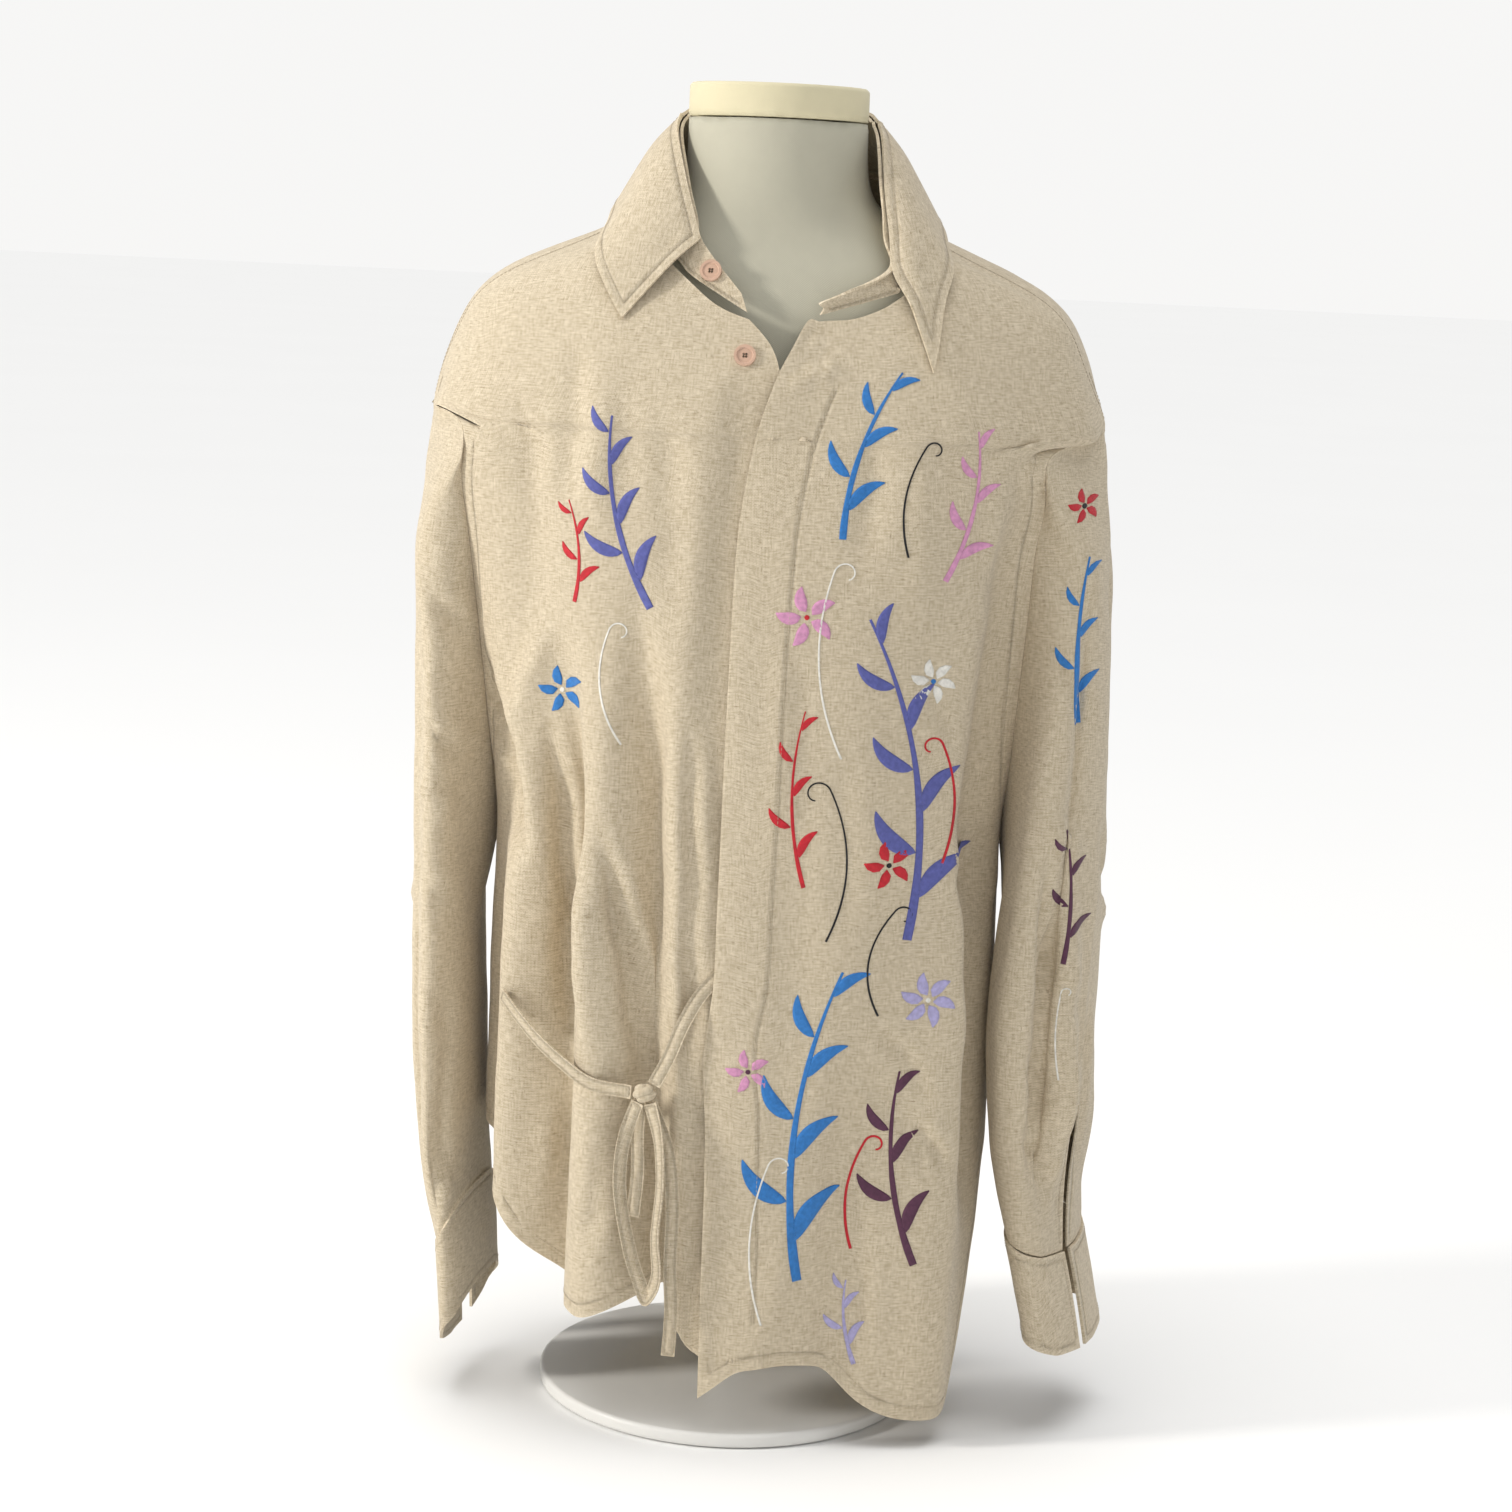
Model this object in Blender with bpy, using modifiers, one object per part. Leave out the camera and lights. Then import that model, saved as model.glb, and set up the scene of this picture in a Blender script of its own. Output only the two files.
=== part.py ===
"""A long-sleeved linen shirt hanging on a small dress form.

Front is -Y, the wearer's left is +X, and the form's foot stands on Z = 0.
The cloth is worked out as rings round the upright axis. A place on it is an
angle (0 at the middle of the front, 90 at the wearer's left side) and a height.
"""

import math

import bmesh
import bpy
import numpy as np

# Cloth
CLOTH = 0.0012
DOUBLE_CLOTH = 0.0020
TIE_CLOTH = 0.0010
SEAM = 0.00046
RING_POWER = 2.3

# Body of the shirt: the ring's half width and its depths to front and back
BODY_COLUMNS = ("z", "half", "front", "back")
BODY_RINGS = (
    (0.841, 0.074, 0.050, 0.072),
    (0.828, 0.080, 0.058, 0.080),
    (0.811, 0.093, 0.068, 0.090),
    (0.796, 0.112, 0.077, 0.097),
    (0.781, 0.150, 0.085, 0.102),
    (0.763, 0.186, 0.094, 0.107),
    (0.741, 0.203, 0.104, 0.112),
    (0.706, 0.217, 0.117, 0.116),
    (0.672, 0.2235, 0.126, 0.118),
    (0.646, 0.2200, 0.130, 0.119),
    (0.606, 0.2090, 0.133, 0.119),
    (0.566, 0.198, 0.136, 0.119),
    (0.466, 0.180, 0.138, 0.116),
    (0.400, 0.171, 0.138, 0.114),
    (0.266, 0.173, 0.138, 0.118),
    (0.166, 0.173, 0.138, 0.122),
    (0.016, 0.171, 0.136, 0.124),
)

# Lengthwise folds of the body: valleys have a negative height
FOLD_COLUMNS = ("angle", "drift", "top", "bottom", "height", "width")
BODY_FOLDS = (
    (-9.0, 1.0, 0.700, -0.10, -0.0045, 3.6),
    (-29.0, 10.0, 0.600, -0.10, -0.0230, 5.0),
    (-38.0, 6.0, 0.480, -0.10, 0.0080, 5.0),
    (-48.0, -3.0, 0.570, -0.10, -0.0310, 5.6),
    (-60.0, -1.0, 0.480, -0.10, 0.0100, 5.0),
    (-57.0, 4.0, 0.760, 0.46, -0.0090, 10.0),
    (-72.0, 2.0, 0.430, 0.06, -0.0120, 5.0),
    (33.0, -2.0, 0.320, -0.10, -0.0110, 7.0),
    (57.0, -3.0, 0.460, -0.10, 0.0160, 8.0),
    (66.0, 2.0, 0.740, 0.14, -0.0200, 6.5),
    (17.0, 3.0, 0.520, -0.10, -0.0030, 6.0),
    (106.0, 3.0, 0.600, 0.02, -0.0150, 7.0),
    (124.0, 4.0, 0.700, -0.10, 0.0080, 8.0),
    (143.0, 2.0, 0.560, -0.10, -0.0180, 7.0),
    (163.0, 4.0, 0.640, -0.10, -0.0080, 6.0),
    (182.0, -3.0, 0.520, -0.10, 0.0070, 8.0),
    (201.0, -4.0, 0.660, -0.10, -0.0160, 7.0),
    (222.0, -2.0, 0.580, -0.10, 0.0060, 7.0),
    (240.0, 3.0, 0.690, -0.10, -0.0190, 8.0),
    (258.0, -3.0, 0.560, 0.04, -0.0090, 6.0),
)

# How a fold fades in at its two ends, and the height over which it drifts aside by its own angle
FOLD_FADE_TOP = 0.16
FOLD_FADE_BOTTOM = 0.08
FOLD_DRIFT_HEIGHT = 0.5

# Edges of the panels, as angle over height or height over angle
SPLIT_HEIGHT = 0.666
SLIT_TOP = 0.194
NECK_ANGLE = 72.0
DROP_ANGLE = 86.0
DROP_SHARE = 0.06
YOKE_ANGLE = 100.0
YOKE_SHARE_SIDE = 0.10
YOKE_SHARE_BACK = 0.47
LAP_DEPTH = 0.0052
LAP_START = 12.0
LAP_SPREAD = 8.0
LAP_TOP = 0.712
LAP_FADE = 0.024
GAPE = 0.0050
GAPE_ANGLE = 24.0
RIGHT_NECKLINE = (
    (0, 0.741), (15, 0.750), (30, 0.768), (45, 0.788), (60, 0.810), (72, 0.828), (90, 0.833), (180, 0.838),
)
LEFT_NECKLINE = (
    (15, 0.744), (30, 0.746), (45, 0.762), (60, 0.796), (72, 0.828), (90, 0.833), (180, 0.838),
)
ARMHOLE = (
    (0.666, 70.0), (0.616, 71.5), (0.566, 73.6), (0.516, 75.5), (0.466, 78.0), (0.430, 82.5), (0.401, 90.0),
)
LEFT_EDGE = (
    (0.036, -4.2), (0.090, -4.6), (0.208, -5.0), (0.273, -6.6), (0.320, -4.6), (0.500, -4.2),
    (0.588, -3.8), (0.632, -2.7), (0.670, 0.0), (0.713, 6.2), (0.734, 12.0), (0.756, 19.0),
)
RIGHT_EDGE = ((0.060, 9.0), (0.690, 8.0), (0.715, 6.0), (0.732, 2.0), (0.744, -5.0))
LEFT_HEM = (
    (-8, 0.036), (-4, 0.036), (5, 0.055), (21, 0.061), (30, 0.058), (38, 0.038), (47, 0.022),
    (57, 0.020), (64, 0.030), (69, 0.056), (74, 0.108), (80, 0.166), (90, 0.194),
)
RIGHT_HEM = (
    (-90, 0.194), (-80, 0.187), (-70, 0.175), (-64, 0.160), (-60, 0.141), (-56, 0.116), (-52, 0.100),
    (-45, 0.087), (-35, 0.085), (-25, 0.099), (-17, 0.108), (-8, 0.071), (10, 0.066),
)
BACK_HEM = (
    (90, 0.194), (95, 0.176), (110, 0.124), (125, 0.070), (150, 0.031), (180, 0.026),
    (210, 0.034), (230, 0.080), (242, 0.122), (250, 0.144), (260, 0.166), (266, 0.184), (270, 0.194),
)

# Mesh density
SIDE_ROWS = 16
ARMPIT_ROW = 9
SHOULDER_SHARES = (0.0, DROP_SHARE, 0.22, 0.40, 0.60, 0.80, 1.0)
FRONT_COLUMNS = 18
BACK_COLUMNS = 25
YOKE_SIDE_COLUMNS = 3
DROP_POINTS = YOKE_SIDE_COLUMNS + 1
YOKE_BACK_COLUMNS = 20
YOKE_ROWS = 5

# Sleeves: middle, half width, half depth and turn of each level section
SLEEVE_COLUMNS = ("z", "x", "y", "half", "depth", "turn")
RIGHT_SLEEVE = (
    (0.680, -0.207, -0.010, 0.0200, 0.064, 0.0),
    (0.543, -0.208, -0.012, 0.0205, 0.063, 0.0),
    (0.408, -0.205, -0.016, 0.0190, 0.061, -3.0),
    (0.268, -0.200, -0.018, 0.0195, 0.059, -6.0),
    (0.171, -0.194, -0.018, 0.0150, 0.056, -9.0),
    (0.112, -0.184, -0.018, 0.0100, 0.054, -8.0),
    (0.040, -0.179, -0.018, 0.0095, 0.053, -8.0),
)
LEFT_SLEEVE = (
    (0.680, 0.207, -0.010, 0.0205, 0.064, 0.0),
    (0.502, 0.210, -0.014, 0.0270, 0.063, -5.0),
    (0.366, 0.2080, -0.021, 0.0310, 0.061, -12.0),
    (0.286, 0.2062, -0.024, 0.0316, 0.060, -18.0),
    (0.219, 0.2080, -0.023, 0.0290, 0.058, -19.0),
    (0.178, 0.211, -0.021, 0.0230, 0.057, -20.0),
    (0.132, 0.217, -0.021, 0.0160, 0.055, -20.0),
    (0.082, 0.229, -0.021, 0.0150, 0.055, -20.0),
    (0.030, 0.238, -0.021, 0.0170, 0.056, -22.0),
)
SLEEVE_JOIN = 0.085
SLEEVE_APART = 0.0022
SLEEVE_ROWS = 14
CUFF_ROWS = 2
VENT_ROWS = 2
RIGHT_VENT_COLUMN = 3
LEFT_VENT_COLUMN = 21
CUFF_OUT = 0.0012
RIGHT_CUFF_APART = 0.0018
LEFT_CUFF_APART = 0.0009
RIGHT_CUFF_SEAM = 0.122
LEFT_CUFF_SEAM = 0.132
RIGHT_CUFF_TILT = 0.022
LEFT_CUFF_TILT = 0.010
CUFF_HEIGHT = 0.068
RIGHT_SLEEVE_FOLDS = (
    (60.0, 6.0, 0.60, 0.14, -0.0060, 16.0),
    (118.0, -8.0, 0.36, 0.12, -0.0060, 15.0),
    (250.0, 6.0, 0.56, 0.13, -0.0080, 18.0),
    (305.0, -4.0, 0.66, 0.20, -0.0050, 15.0),
)
LEFT_SLEEVE_FOLDS = (
    (58.0, 3.0, 0.66, 0.17, -0.0110, 15.0),
    (98.0, 2.0, 0.62, 0.18, 0.0040, 14.0),
    (236.0, 8.0, 0.52, 0.15, -0.0080, 18.0),
    (300.0, -4.0, 0.64, 0.18, -0.0060, 15.0),
)

# Collar: the fold line by place, the outer edge by angle, height and lift off the body
COLLAR_COLUMNS = ("fold_x", "fold_y", "fold_z", "edge_angle", "edge_z", "edge_lift")
COLLAR = (
    (-0.0430, -0.0840, 0.793, -42.0, 0.741, 0.0040),
    (-0.0570, -0.0600, 0.835, -55.0, 0.776, 0.0090),
    (-0.0655, -0.0280, 0.866, -76.0, 0.808, 0.0150),
    (-0.0560, 0.0200, 0.879, -118.0, 0.820, 0.0090),
    (0.0000, 0.0480, 0.883, -180.0, 0.826, 0.0100),
    (0.0570, 0.0200, 0.879, -242.0, 0.818, 0.0090),
    (0.0680, -0.0280, 0.864, -284.0, 0.803, 0.0150),
    (0.0720, -0.0600, 0.828, -306.0, 0.766, 0.0090),
    (0.0800, -0.0860, 0.777, -314.0, 0.716, 0.0040),
)
COLLAR_STEPS = 3
COLLAR_ROWS = 4
COLLAR_ROLL = 0.0045
STAND_RIGHT_ANGLE = -6.0
STAND_LEFT_ANGLE = 20.0
STAND_RIGHT_TOP = (-0.0150, -0.0960, 0.7600)
STAND_LEFT_TOP = (0.0400, -0.1020, 0.7580)
STAND_INSIDE = 0.0024
STAND_UNDER = 0.0020
STAND_RISE = 0.0039
STAND_ROWS = 2

# Buttons
BUTTON_RADIUS = 0.0070
BUTTON_THICKNESS = 0.0024
BUTTON_RIM = 0.0016
BUTTON_DISH = 0.0008
BUTTON_HOLE_RADIUS = 0.0008
BUTTON_HOLE_SPREAD = 0.0017
BUTTON_GAP = 0.0004
STAND_BUTTON_SHARE = 0.72
FRONT_BUTTON = (-5.0, 0.721)

# Tie: narrow strips with a way in x, y, z and a turn of the strip about it
TIE_WIDTH = 0.009
TIE_COLUMNS = ("x", "z", "lift", "turn")
SIDE_RUN = (
    (-0.1540, 0.292, 0.0165, 0.0),
    (-0.1400, 0.281, 0.0150, 0.0),
    (-0.1260, 0.270, 0.0140, 0.0),
    (-0.1080, 0.258, 0.0125, 0.0),
    (-0.0900, 0.248, 0.0115, 5.0),
    (-0.0609, 0.2452, 0.0096, 0.0),
)
PLACKET_RUN = (
    (-0.0461, 0.2516, 0.0095, 0.0),
    (-0.0380, 0.268, 0.0050, 0.0),
    (-0.0290, 0.292, 0.0035, 0.0),
    (-0.0180, 0.312, -0.0040, 0.0),
    (-0.0060, 0.326, -0.0050, 0.0),
)
LOOP_NEAR = (
    (-0.0563, 0.2394, 0.0108, 0.0),
    (-0.0640, 0.215, 0.0120, 40.0),
    (-0.0665, 0.185, 0.0110, 50.0),
    (-0.0610, 0.150, 0.0100, 50.0),
    (-0.0510, 0.118, 0.0100, 40.0),
    (-0.0450, 0.106, 0.0110, 30.0),
    (-0.0405, 0.116, 0.0120, 30.0),
    (-0.0410, 0.150, 0.0130, 40.0),
    (-0.0390, 0.190, 0.0135, 40.0),
    (-0.0420, 0.220, 0.0130, 30.0),
    (-0.0479, 0.2394, 0.0108, 0.0),
)
TAIL_LONG = (
    (-0.0480, 0.2393, 0.0078, 0.0),
    (-0.0350, 0.205, 0.0070, 20.0),
    (-0.0310, 0.170, 0.0070, 20.0),
    (-0.0310, 0.130, 0.0080, 30.0),
    (-0.0290, 0.098, 0.0080, 20.0),
    (-0.0300, 0.068, 0.0080, 10.0),
)
TAIL_SHORT = (
    (-0.0550, 0.2394, 0.0048, 0.0),
    (-0.0560, 0.215, 0.0040, 10.0),
    (-0.0550, 0.190, 0.0040, 10.0),
    (-0.0570, 0.160, 0.0045, 10.0),
)
TIE_STEP = 0.0090
KNOT_AT = (-0.0522, 0.2456, 0.0098)
KNOT_SIZE = (0.0080, 0.0062, 0.0068)

# Dress form
FORM_COLUMNS = ("z", "y", "half", "front", "back")
FORM_RINGS = (
    (0.8700, -0.0225, 0.0590, 0.0590, 0.0590),
    (0.8450, -0.0170, 0.0595, 0.0595, 0.0595),
    (0.8300, -0.0130, 0.0615, 0.0600, 0.0610),
    (0.8150, -0.0090, 0.0690, 0.0620, 0.0670),
    (0.8000, -0.0030, 0.0980, 0.0670, 0.0800),
    (0.7850, 0.0000, 0.1362, 0.0750, 0.0905),
    (0.7680, 0.0000, 0.1722, 0.0825, 0.0965),
    (0.7500, 0.0000, 0.1830, 0.0885, 0.1010),
    (0.7280, 0.0000, 0.1860, 0.0930, 0.1020),
    (0.7000, 0.0000, 0.1820, 0.1010, 0.1040),
    (0.6600, 0.0000, 0.1640, 0.1100, 0.1040),
    (0.6000, 0.0000, 0.1480, 0.1130, 0.1000),
    (0.5200, 0.0000, 0.1340, 0.1060, 0.0930),
    (0.4400, 0.0000, 0.1220, 0.0960, 0.0880),
    (0.3800, 0.0000, 0.1260, 0.0960, 0.0900),
    (0.3200, 0.0000, 0.1340, 0.0980, 0.0940),
)
FORM_SIDES = 26
FORM_NECK_LEVEL = 0.855
SHOULDER_TOP = 0.84
SHOULDER_END = 0.70
SHOULDER_LEVELS = 12
CHEST_TOP = 0.66
CHEST_LEVELS = 8
CAP_RINGS = (
    (0.8920, -0.0250, 0.0590, 0.0590, 0.0590),
    (0.8703, -0.0225, 0.0592, 0.0592, 0.0592),
)
CAP_EDGE = 0.002
CAP_LID_SHARE = 0.965
FORM_END = 0.012
FORM_END_RINGS = ((0.90, 0.6), (0.70, 1.0))
POST_RADIUS = 0.0125
BASE_RADIUS = 0.130
BASE_THICKNESS = 0.010
BASE_EDGE = 0.003
REST_GAP = 0.0003

LINEN = (0.54, 0.46, 0.36, 1.0)
FORM_CLOTH = (0.57, 0.54, 0.43, 1.0)
CAP_CLOTH = (0.68, 0.63, 0.47, 1.0)
BUTTON_COLOUR = (0.58, 0.42, 0.34, 1.0)
FOOT_COLOUR = (0.80, 0.79, 0.76, 1.0)


def through(rows, columns, name, at):
    """A smooth curve through one column of a table, over its first column, with no overshoot."""
    table = np.array(sorted(rows), float)
    x = table[:, 0]
    y = table[:, columns.index(name)]
    step = np.diff(x)
    slope = np.diff(y) / step
    tangent = np.concatenate([slope[:1], np.zeros(len(y) - 2), slope[-1:]])
    same = slope[:-1] * slope[1:] > 0
    both = np.where(same, slope[:-1] + slope[1:], 1.0)
    tangent[1:-1] = np.where(same, 2 * slope[:-1] * slope[1:] / both, 0.0)
    at = np.clip(np.asarray(at, float), x[0], x[-1])
    i = np.clip(np.searchsorted(x, at) - 1, 0, len(step) - 1)
    t = (at - x[i]) / step[i]
    near = (1 + 2 * t) * (1 - t) ** 2 * y[i] + t * (1 - t) ** 2 * step[i] * tangent[i]
    far = t * t * (3 - 2 * t) * y[i + 1] + t * t * (t - 1) * step[i] * tangent[i + 1]
    return near + far


def along(pairs, at):
    """The value over a table of two columns."""
    return through(pairs, ("at", "value"), "value", at)


def smooth(share):
    share = np.clip(share, 0.0, 1.0)
    return share * share * (3 - 2 * share)


def folded(folds, angle, z):
    """The height of all the folds at an angle and a height, each fading in over its upper end."""
    total = 0.0
    for at, drift, top, bottom, height, width in folds:
        reach = smooth((top - z) / FOLD_FADE_TOP) * smooth((z - bottom) / FOLD_FADE_BOTTOM)
        middle = at + drift * (top - z) / FOLD_DRIFT_HEIGHT
        apart = (angle - middle + 180.0) % 360.0 - 180.0
        total = total + height * reach * np.exp(-((apart / width) ** 2))
    return total


def ring_radius(rows, columns, angle, z):
    turn = np.radians(angle)
    half = through(rows, columns, "half", z)
    front = through(rows, columns, "front", z)
    back = through(rows, columns, "back", z)
    deep = np.where(np.cos(turn) > 0, front, back)
    across = np.abs(np.sin(turn) / half) ** RING_POWER
    fore = np.abs(np.cos(turn) / deep) ** RING_POWER
    return (across + fore) ** (-1 / RING_POWER)


def body_point(angle, z, lift=0.0, with_folds=True):
    """A point on the outside of the shirt's body, or lift beyond it."""
    angle = np.asarray(angle, float)
    z = np.asarray(z, float)
    radius = ring_radius(BODY_RINGS, BODY_COLUMNS, angle, z) + lift
    if with_folds:
        radius = radius + folded(BODY_FOLDS, angle, z)
    turn = np.radians(angle)
    return np.stack([radius * np.sin(turn), -radius * np.cos(turn), z + 0.0 * radius], -1)


def neck_height(angle):
    turn = (np.asarray(angle, float) + 180.0) % 360.0 - 180.0
    return np.where(turn > 0, along(LEFT_NECKLINE, np.abs(turn)), along(RIGHT_NECKLINE, np.abs(turn)))


def shoulder_height(angle, share):
    return SPLIT_HEIGHT + (neck_height(angle) - SPLIT_HEIGHT) * share


def inset(angle, z):
    """The angle that half a seam's gap takes up."""
    return np.degrees(SEAM / ring_radius(BODY_RINGS, BODY_COLUMNS, angle, z))


def armhole_angle(z):
    """The front edge of the wearer's left armhole, and below it the side seam."""
    return np.where(z < ARMHOLE[-1][0], 90.0, along(ARMHOLE, z))


def side_height(row):
    return SPLIT_HEIGHT - (SPLIT_HEIGHT - SLIT_TOP) * row / SIDE_ROWS


def seam_angle(share):
    """The forward shoulder seam, from the drop of the shoulder to the neck."""
    climb = np.clip((share - DROP_SHARE) / (1 - DROP_SHARE), 0.0, 1.0)
    return DROP_ANGLE + (NECK_ANGLE - DROP_ANGLE) * climb


def lap_lift(side, angle, z):
    """How far a front goes in under the other one, or stands off it where the neck is open."""
    if side < 0:
        return -LAP_DEPTH * smooth((angle + LAP_START) / LAP_SPREAD) * smooth((LAP_TOP - z) / LAP_FADE)
    return GAPE * smooth((z - LAP_TOP + 2 * LAP_FADE) / LAP_FADE) * smooth((GAPE_ANGLE - angle) / GAPE_ANGLE)


def front_rows(side, edge, hem):
    """The grid of one front, from the neckline down. side is 1 for the wearer's left."""
    share_across = np.linspace(0.0, 1.0, FRONT_COLUMNS + 1)
    edge_top = float(along(edge, 1.0))
    neck = edge_top + (side * NECK_ANGLE - edge_top) * share_across
    rows = []
    for share in reversed(SHOULDER_SHARES[1:]):
        z = shoulder_height(neck, share)
        outer = side * (seam_angle(share) - inset(seam_angle(share), z))
        start = along(edge, z)
        rows.append((start + (outer - start) * share_across, z))
    for row in range(SIDE_ROWS + 1):
        level = side_height(row)
        outer = side * (float(armhole_angle(level)) - float(inset(90.0, level)))
        edge_low = float(along(edge, 0.0)) if side > 0 else RIGHT_EDGE[0][1]
        reach = edge_low + (side * 90.0 - edge_low) * share_across
        z = SPLIT_HEIGHT - (SPLIT_HEIGHT - along(hem, reach)) * row / SIDE_ROWS
        start = along(edge, z)
        rows.append((start + (outer - start) * share_across, z))
    points = []
    for angle, z in rows:
        points.append(body_point(angle, z, lap_lift(side, angle, z)))
    return np.array(points)


def yoke_lower(share):
    """The lower edge of the yoke: along the armhole, across the back, along the other armhole."""
    side = YOKE_SIDE_COLUMNS / (2 * YOKE_SIDE_COLUMNS + YOKE_BACK_COLUMNS)
    near = np.minimum(share, 1.0 - share)
    on_armhole = np.clip(near / side, 0.0, 1.0)
    on_back = np.clip((near - side) / (0.5 - side), 0.0, 1.0)
    angle = DROP_ANGLE + (YOKE_ANGLE - DROP_ANGLE) * on_armhole + (180.0 - YOKE_ANGLE) * on_back
    level = DROP_SHARE + (YOKE_SHARE_SIDE - DROP_SHARE) * on_armhole
    level = level + (YOKE_SHARE_BACK - YOKE_SHARE_SIDE) * np.sin(0.5 * math.pi * on_back)
    return np.where(share <= 0.5, angle, 360.0 - angle), level


def yoke_rows():
    columns = 2 * YOKE_SIDE_COLUMNS + YOKE_BACK_COLUMNS
    share_across = np.linspace(0.0, 1.0, columns + 1)
    low_angle, low = yoke_lower(share_across)
    high_angle = NECK_ANGLE + (360.0 - 2 * NECK_ANGLE) * share_across
    points = []
    for up in np.linspace(1.0, 0.0, YOKE_ROWS + 1):
        angle = low_angle + (high_angle - low_angle) * up
        share = low + (1.0 - low) * up
        z = shoulder_height(angle, share) + (2 * SEAM if up == 0.0 else 0.0)
        apart = inset(angle, z)
        angle[0] += apart[0]
        angle[-1] -= apart[-1]
        points.append(body_point(angle, z))
    return np.array(points)


def back_rows():
    share_across = np.linspace(0.0, 1.0, BACK_COLUMNS + 1)
    near = np.minimum(share_across, 1.0 - share_across)
    top = YOKE_SHARE_SIDE + (YOKE_SHARE_BACK - YOKE_SHARE_SIDE) * np.sin(math.pi * near)
    points = []
    for up in (1.0, 0.66, 0.33):
        share = top * up
        start = 180.0 - ARMHOLE[0][1] + (YOKE_ANGLE - 180.0 + ARMHOLE[0][1]) * up
        angle = start + (360.0 - 2 * start) * share_across
        points.append(body_point(angle, shoulder_height(angle, share)))
    for row in range(SIDE_ROWS + 1):
        level = side_height(row)
        start = 180.0 - float(armhole_angle(level)) + float(inset(90.0, level))
        angle = start + (360.0 - 2 * start) * share_across
        hem = along(BACK_HEM, 90.0 + 180.0 * share_across)
        z = SPLIT_HEIGHT - (SPLIT_HEIGHT - hem) * row / SIDE_ROWS
        points.append(body_point(angle, z))
    return np.array(points)


def armhole_loop(side):
    """The edge that a sleeve is sewn to: over the drop of the shoulder, down the back, up the front."""
    places = []
    for along_drop in np.linspace(0.0, 1.0, DROP_POINTS):
        angle = DROP_ANGLE + (YOKE_ANGLE - DROP_ANGLE) * along_drop
        share = DROP_SHARE + (YOKE_SHARE_SIDE - DROP_SHARE) * along_drop
        places.append((angle, float(shoulder_height(angle, share))))
    for row in range(ARMPIT_ROW + 1):
        level = float(side_height(row))
        places.append((180.0 - float(armhole_angle(level)), level))
    for row in range(ARMPIT_ROW - 1, -1, -1):
        level = float(side_height(row))
        places.append((float(armhole_angle(level)), level))
    return np.array([body_point(side * angle, z) for angle, z in places])


def sleeve_section(rows, folds, around, z):
    """Points of a level section at angles around it: 0 is outside, 90 to the front."""
    side = math.copysign(1.0, rows[0][1])
    half = through(rows, SLEEVE_COLUMNS, "half", z) + folded(folds, around, z)
    depth = through(rows, SLEEVE_COLUMNS, "depth", z) + folded(folds, around, z)
    turn = np.radians(through(rows, SLEEVE_COLUMNS, "turn", z))
    angle = np.radians(around)
    across = side * half * np.sign(np.cos(angle)) * np.abs(np.cos(angle)) ** 0.85
    fore = -depth * np.sign(np.sin(angle)) * np.abs(np.sin(angle)) ** 0.95
    x = through(rows, SLEEVE_COLUMNS, "x", z) + across * np.cos(turn) - fore * np.sin(turn)
    y = through(rows, SLEEVE_COLUMNS, "y", z) + across * np.sin(turn) + fore * np.cos(turn)
    return np.stack([x, y, np.asarray(z, float) + 0.0 * x], -1)


def loop_angles(loop):
    """The angle round the sleeve that each point of the armhole leads to, by its share of the way round."""
    lengths = np.linalg.norm(np.roll(loop, -1, 0) - loop, axis=1)
    way = np.concatenate([[0.0], np.cumsum(lengths)])
    top = 0.5 * (way[1] + way[2])
    return -360.0 * (way[:-1] - top) / way[-1]


def sleeve_rows(rows, folds, seam_height, tilt):
    side = math.copysign(1.0, rows[0][1])
    loop = armhole_loop(side)
    start = loop.copy()
    start[:DROP_POINTS, 2] -= SLEEVE_APART
    start[DROP_POINTS:, 0] += side * SLEEVE_APART
    start[DROP_POINTS + ARMPIT_ROW, 2] -= SLEEVE_APART
    around = loop_angles(loop)
    seam = seam_height - tilt * np.cos(np.radians(around))
    grid = []
    for share in np.linspace(0.0, 1.0, SLEEVE_ROWS + 1) ** 1.25:
        z = start[:, 2] + (seam - start[:, 2]) * share
        level = sleeve_section(rows, folds, around, z)
        blend = smooth((start[:, 2] - z) / SLEEVE_JOIN)[:, None]
        grid.append(np.concatenate([start[:, :2] * (1 - blend) + level[:, :2] * blend, z[:, None]], 1))
    return np.array(grid), around


def cuff_rows(rows, folds, around, seam_height, tilt, apart):
    seam = seam_height - tilt * np.cos(np.radians(around))
    grid = []
    for share in np.linspace(0.0, 1.0, CUFF_ROWS + 1):
        grid.append(sleeve_section(rows, folds, around, seam - apart - CUFF_HEIGHT * share))
    middle = np.mean(grid, axis=1, keepdims=True)
    outward = np.array(grid) - middle
    outward[:, :, 2] = 0.0
    return np.array(grid) + CUFF_OUT * outward / np.linalg.norm(outward, axis=2, keepdims=True)


def collar_lines():
    """The collar's fold line and outer edge, smooth through the table's stations."""
    count = (len(COLLAR) - 1) * COLLAR_STEPS + 1
    stations = np.linspace(0.0, len(COLLAR) - 1.0, count)
    table = [(float(i),) + row for i, row in enumerate(COLLAR)]
    columns = ("station",) + COLLAR_COLUMNS
    value = {name: through(table, columns, name, stations) for name in COLLAR_COLUMNS}
    fold = np.stack([value["fold_x"], value["fold_y"], value["fold_z"]], -1)
    edge = body_point(value["edge_angle"], value["edge_z"], value["edge_lift"])
    return fold, edge


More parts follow.
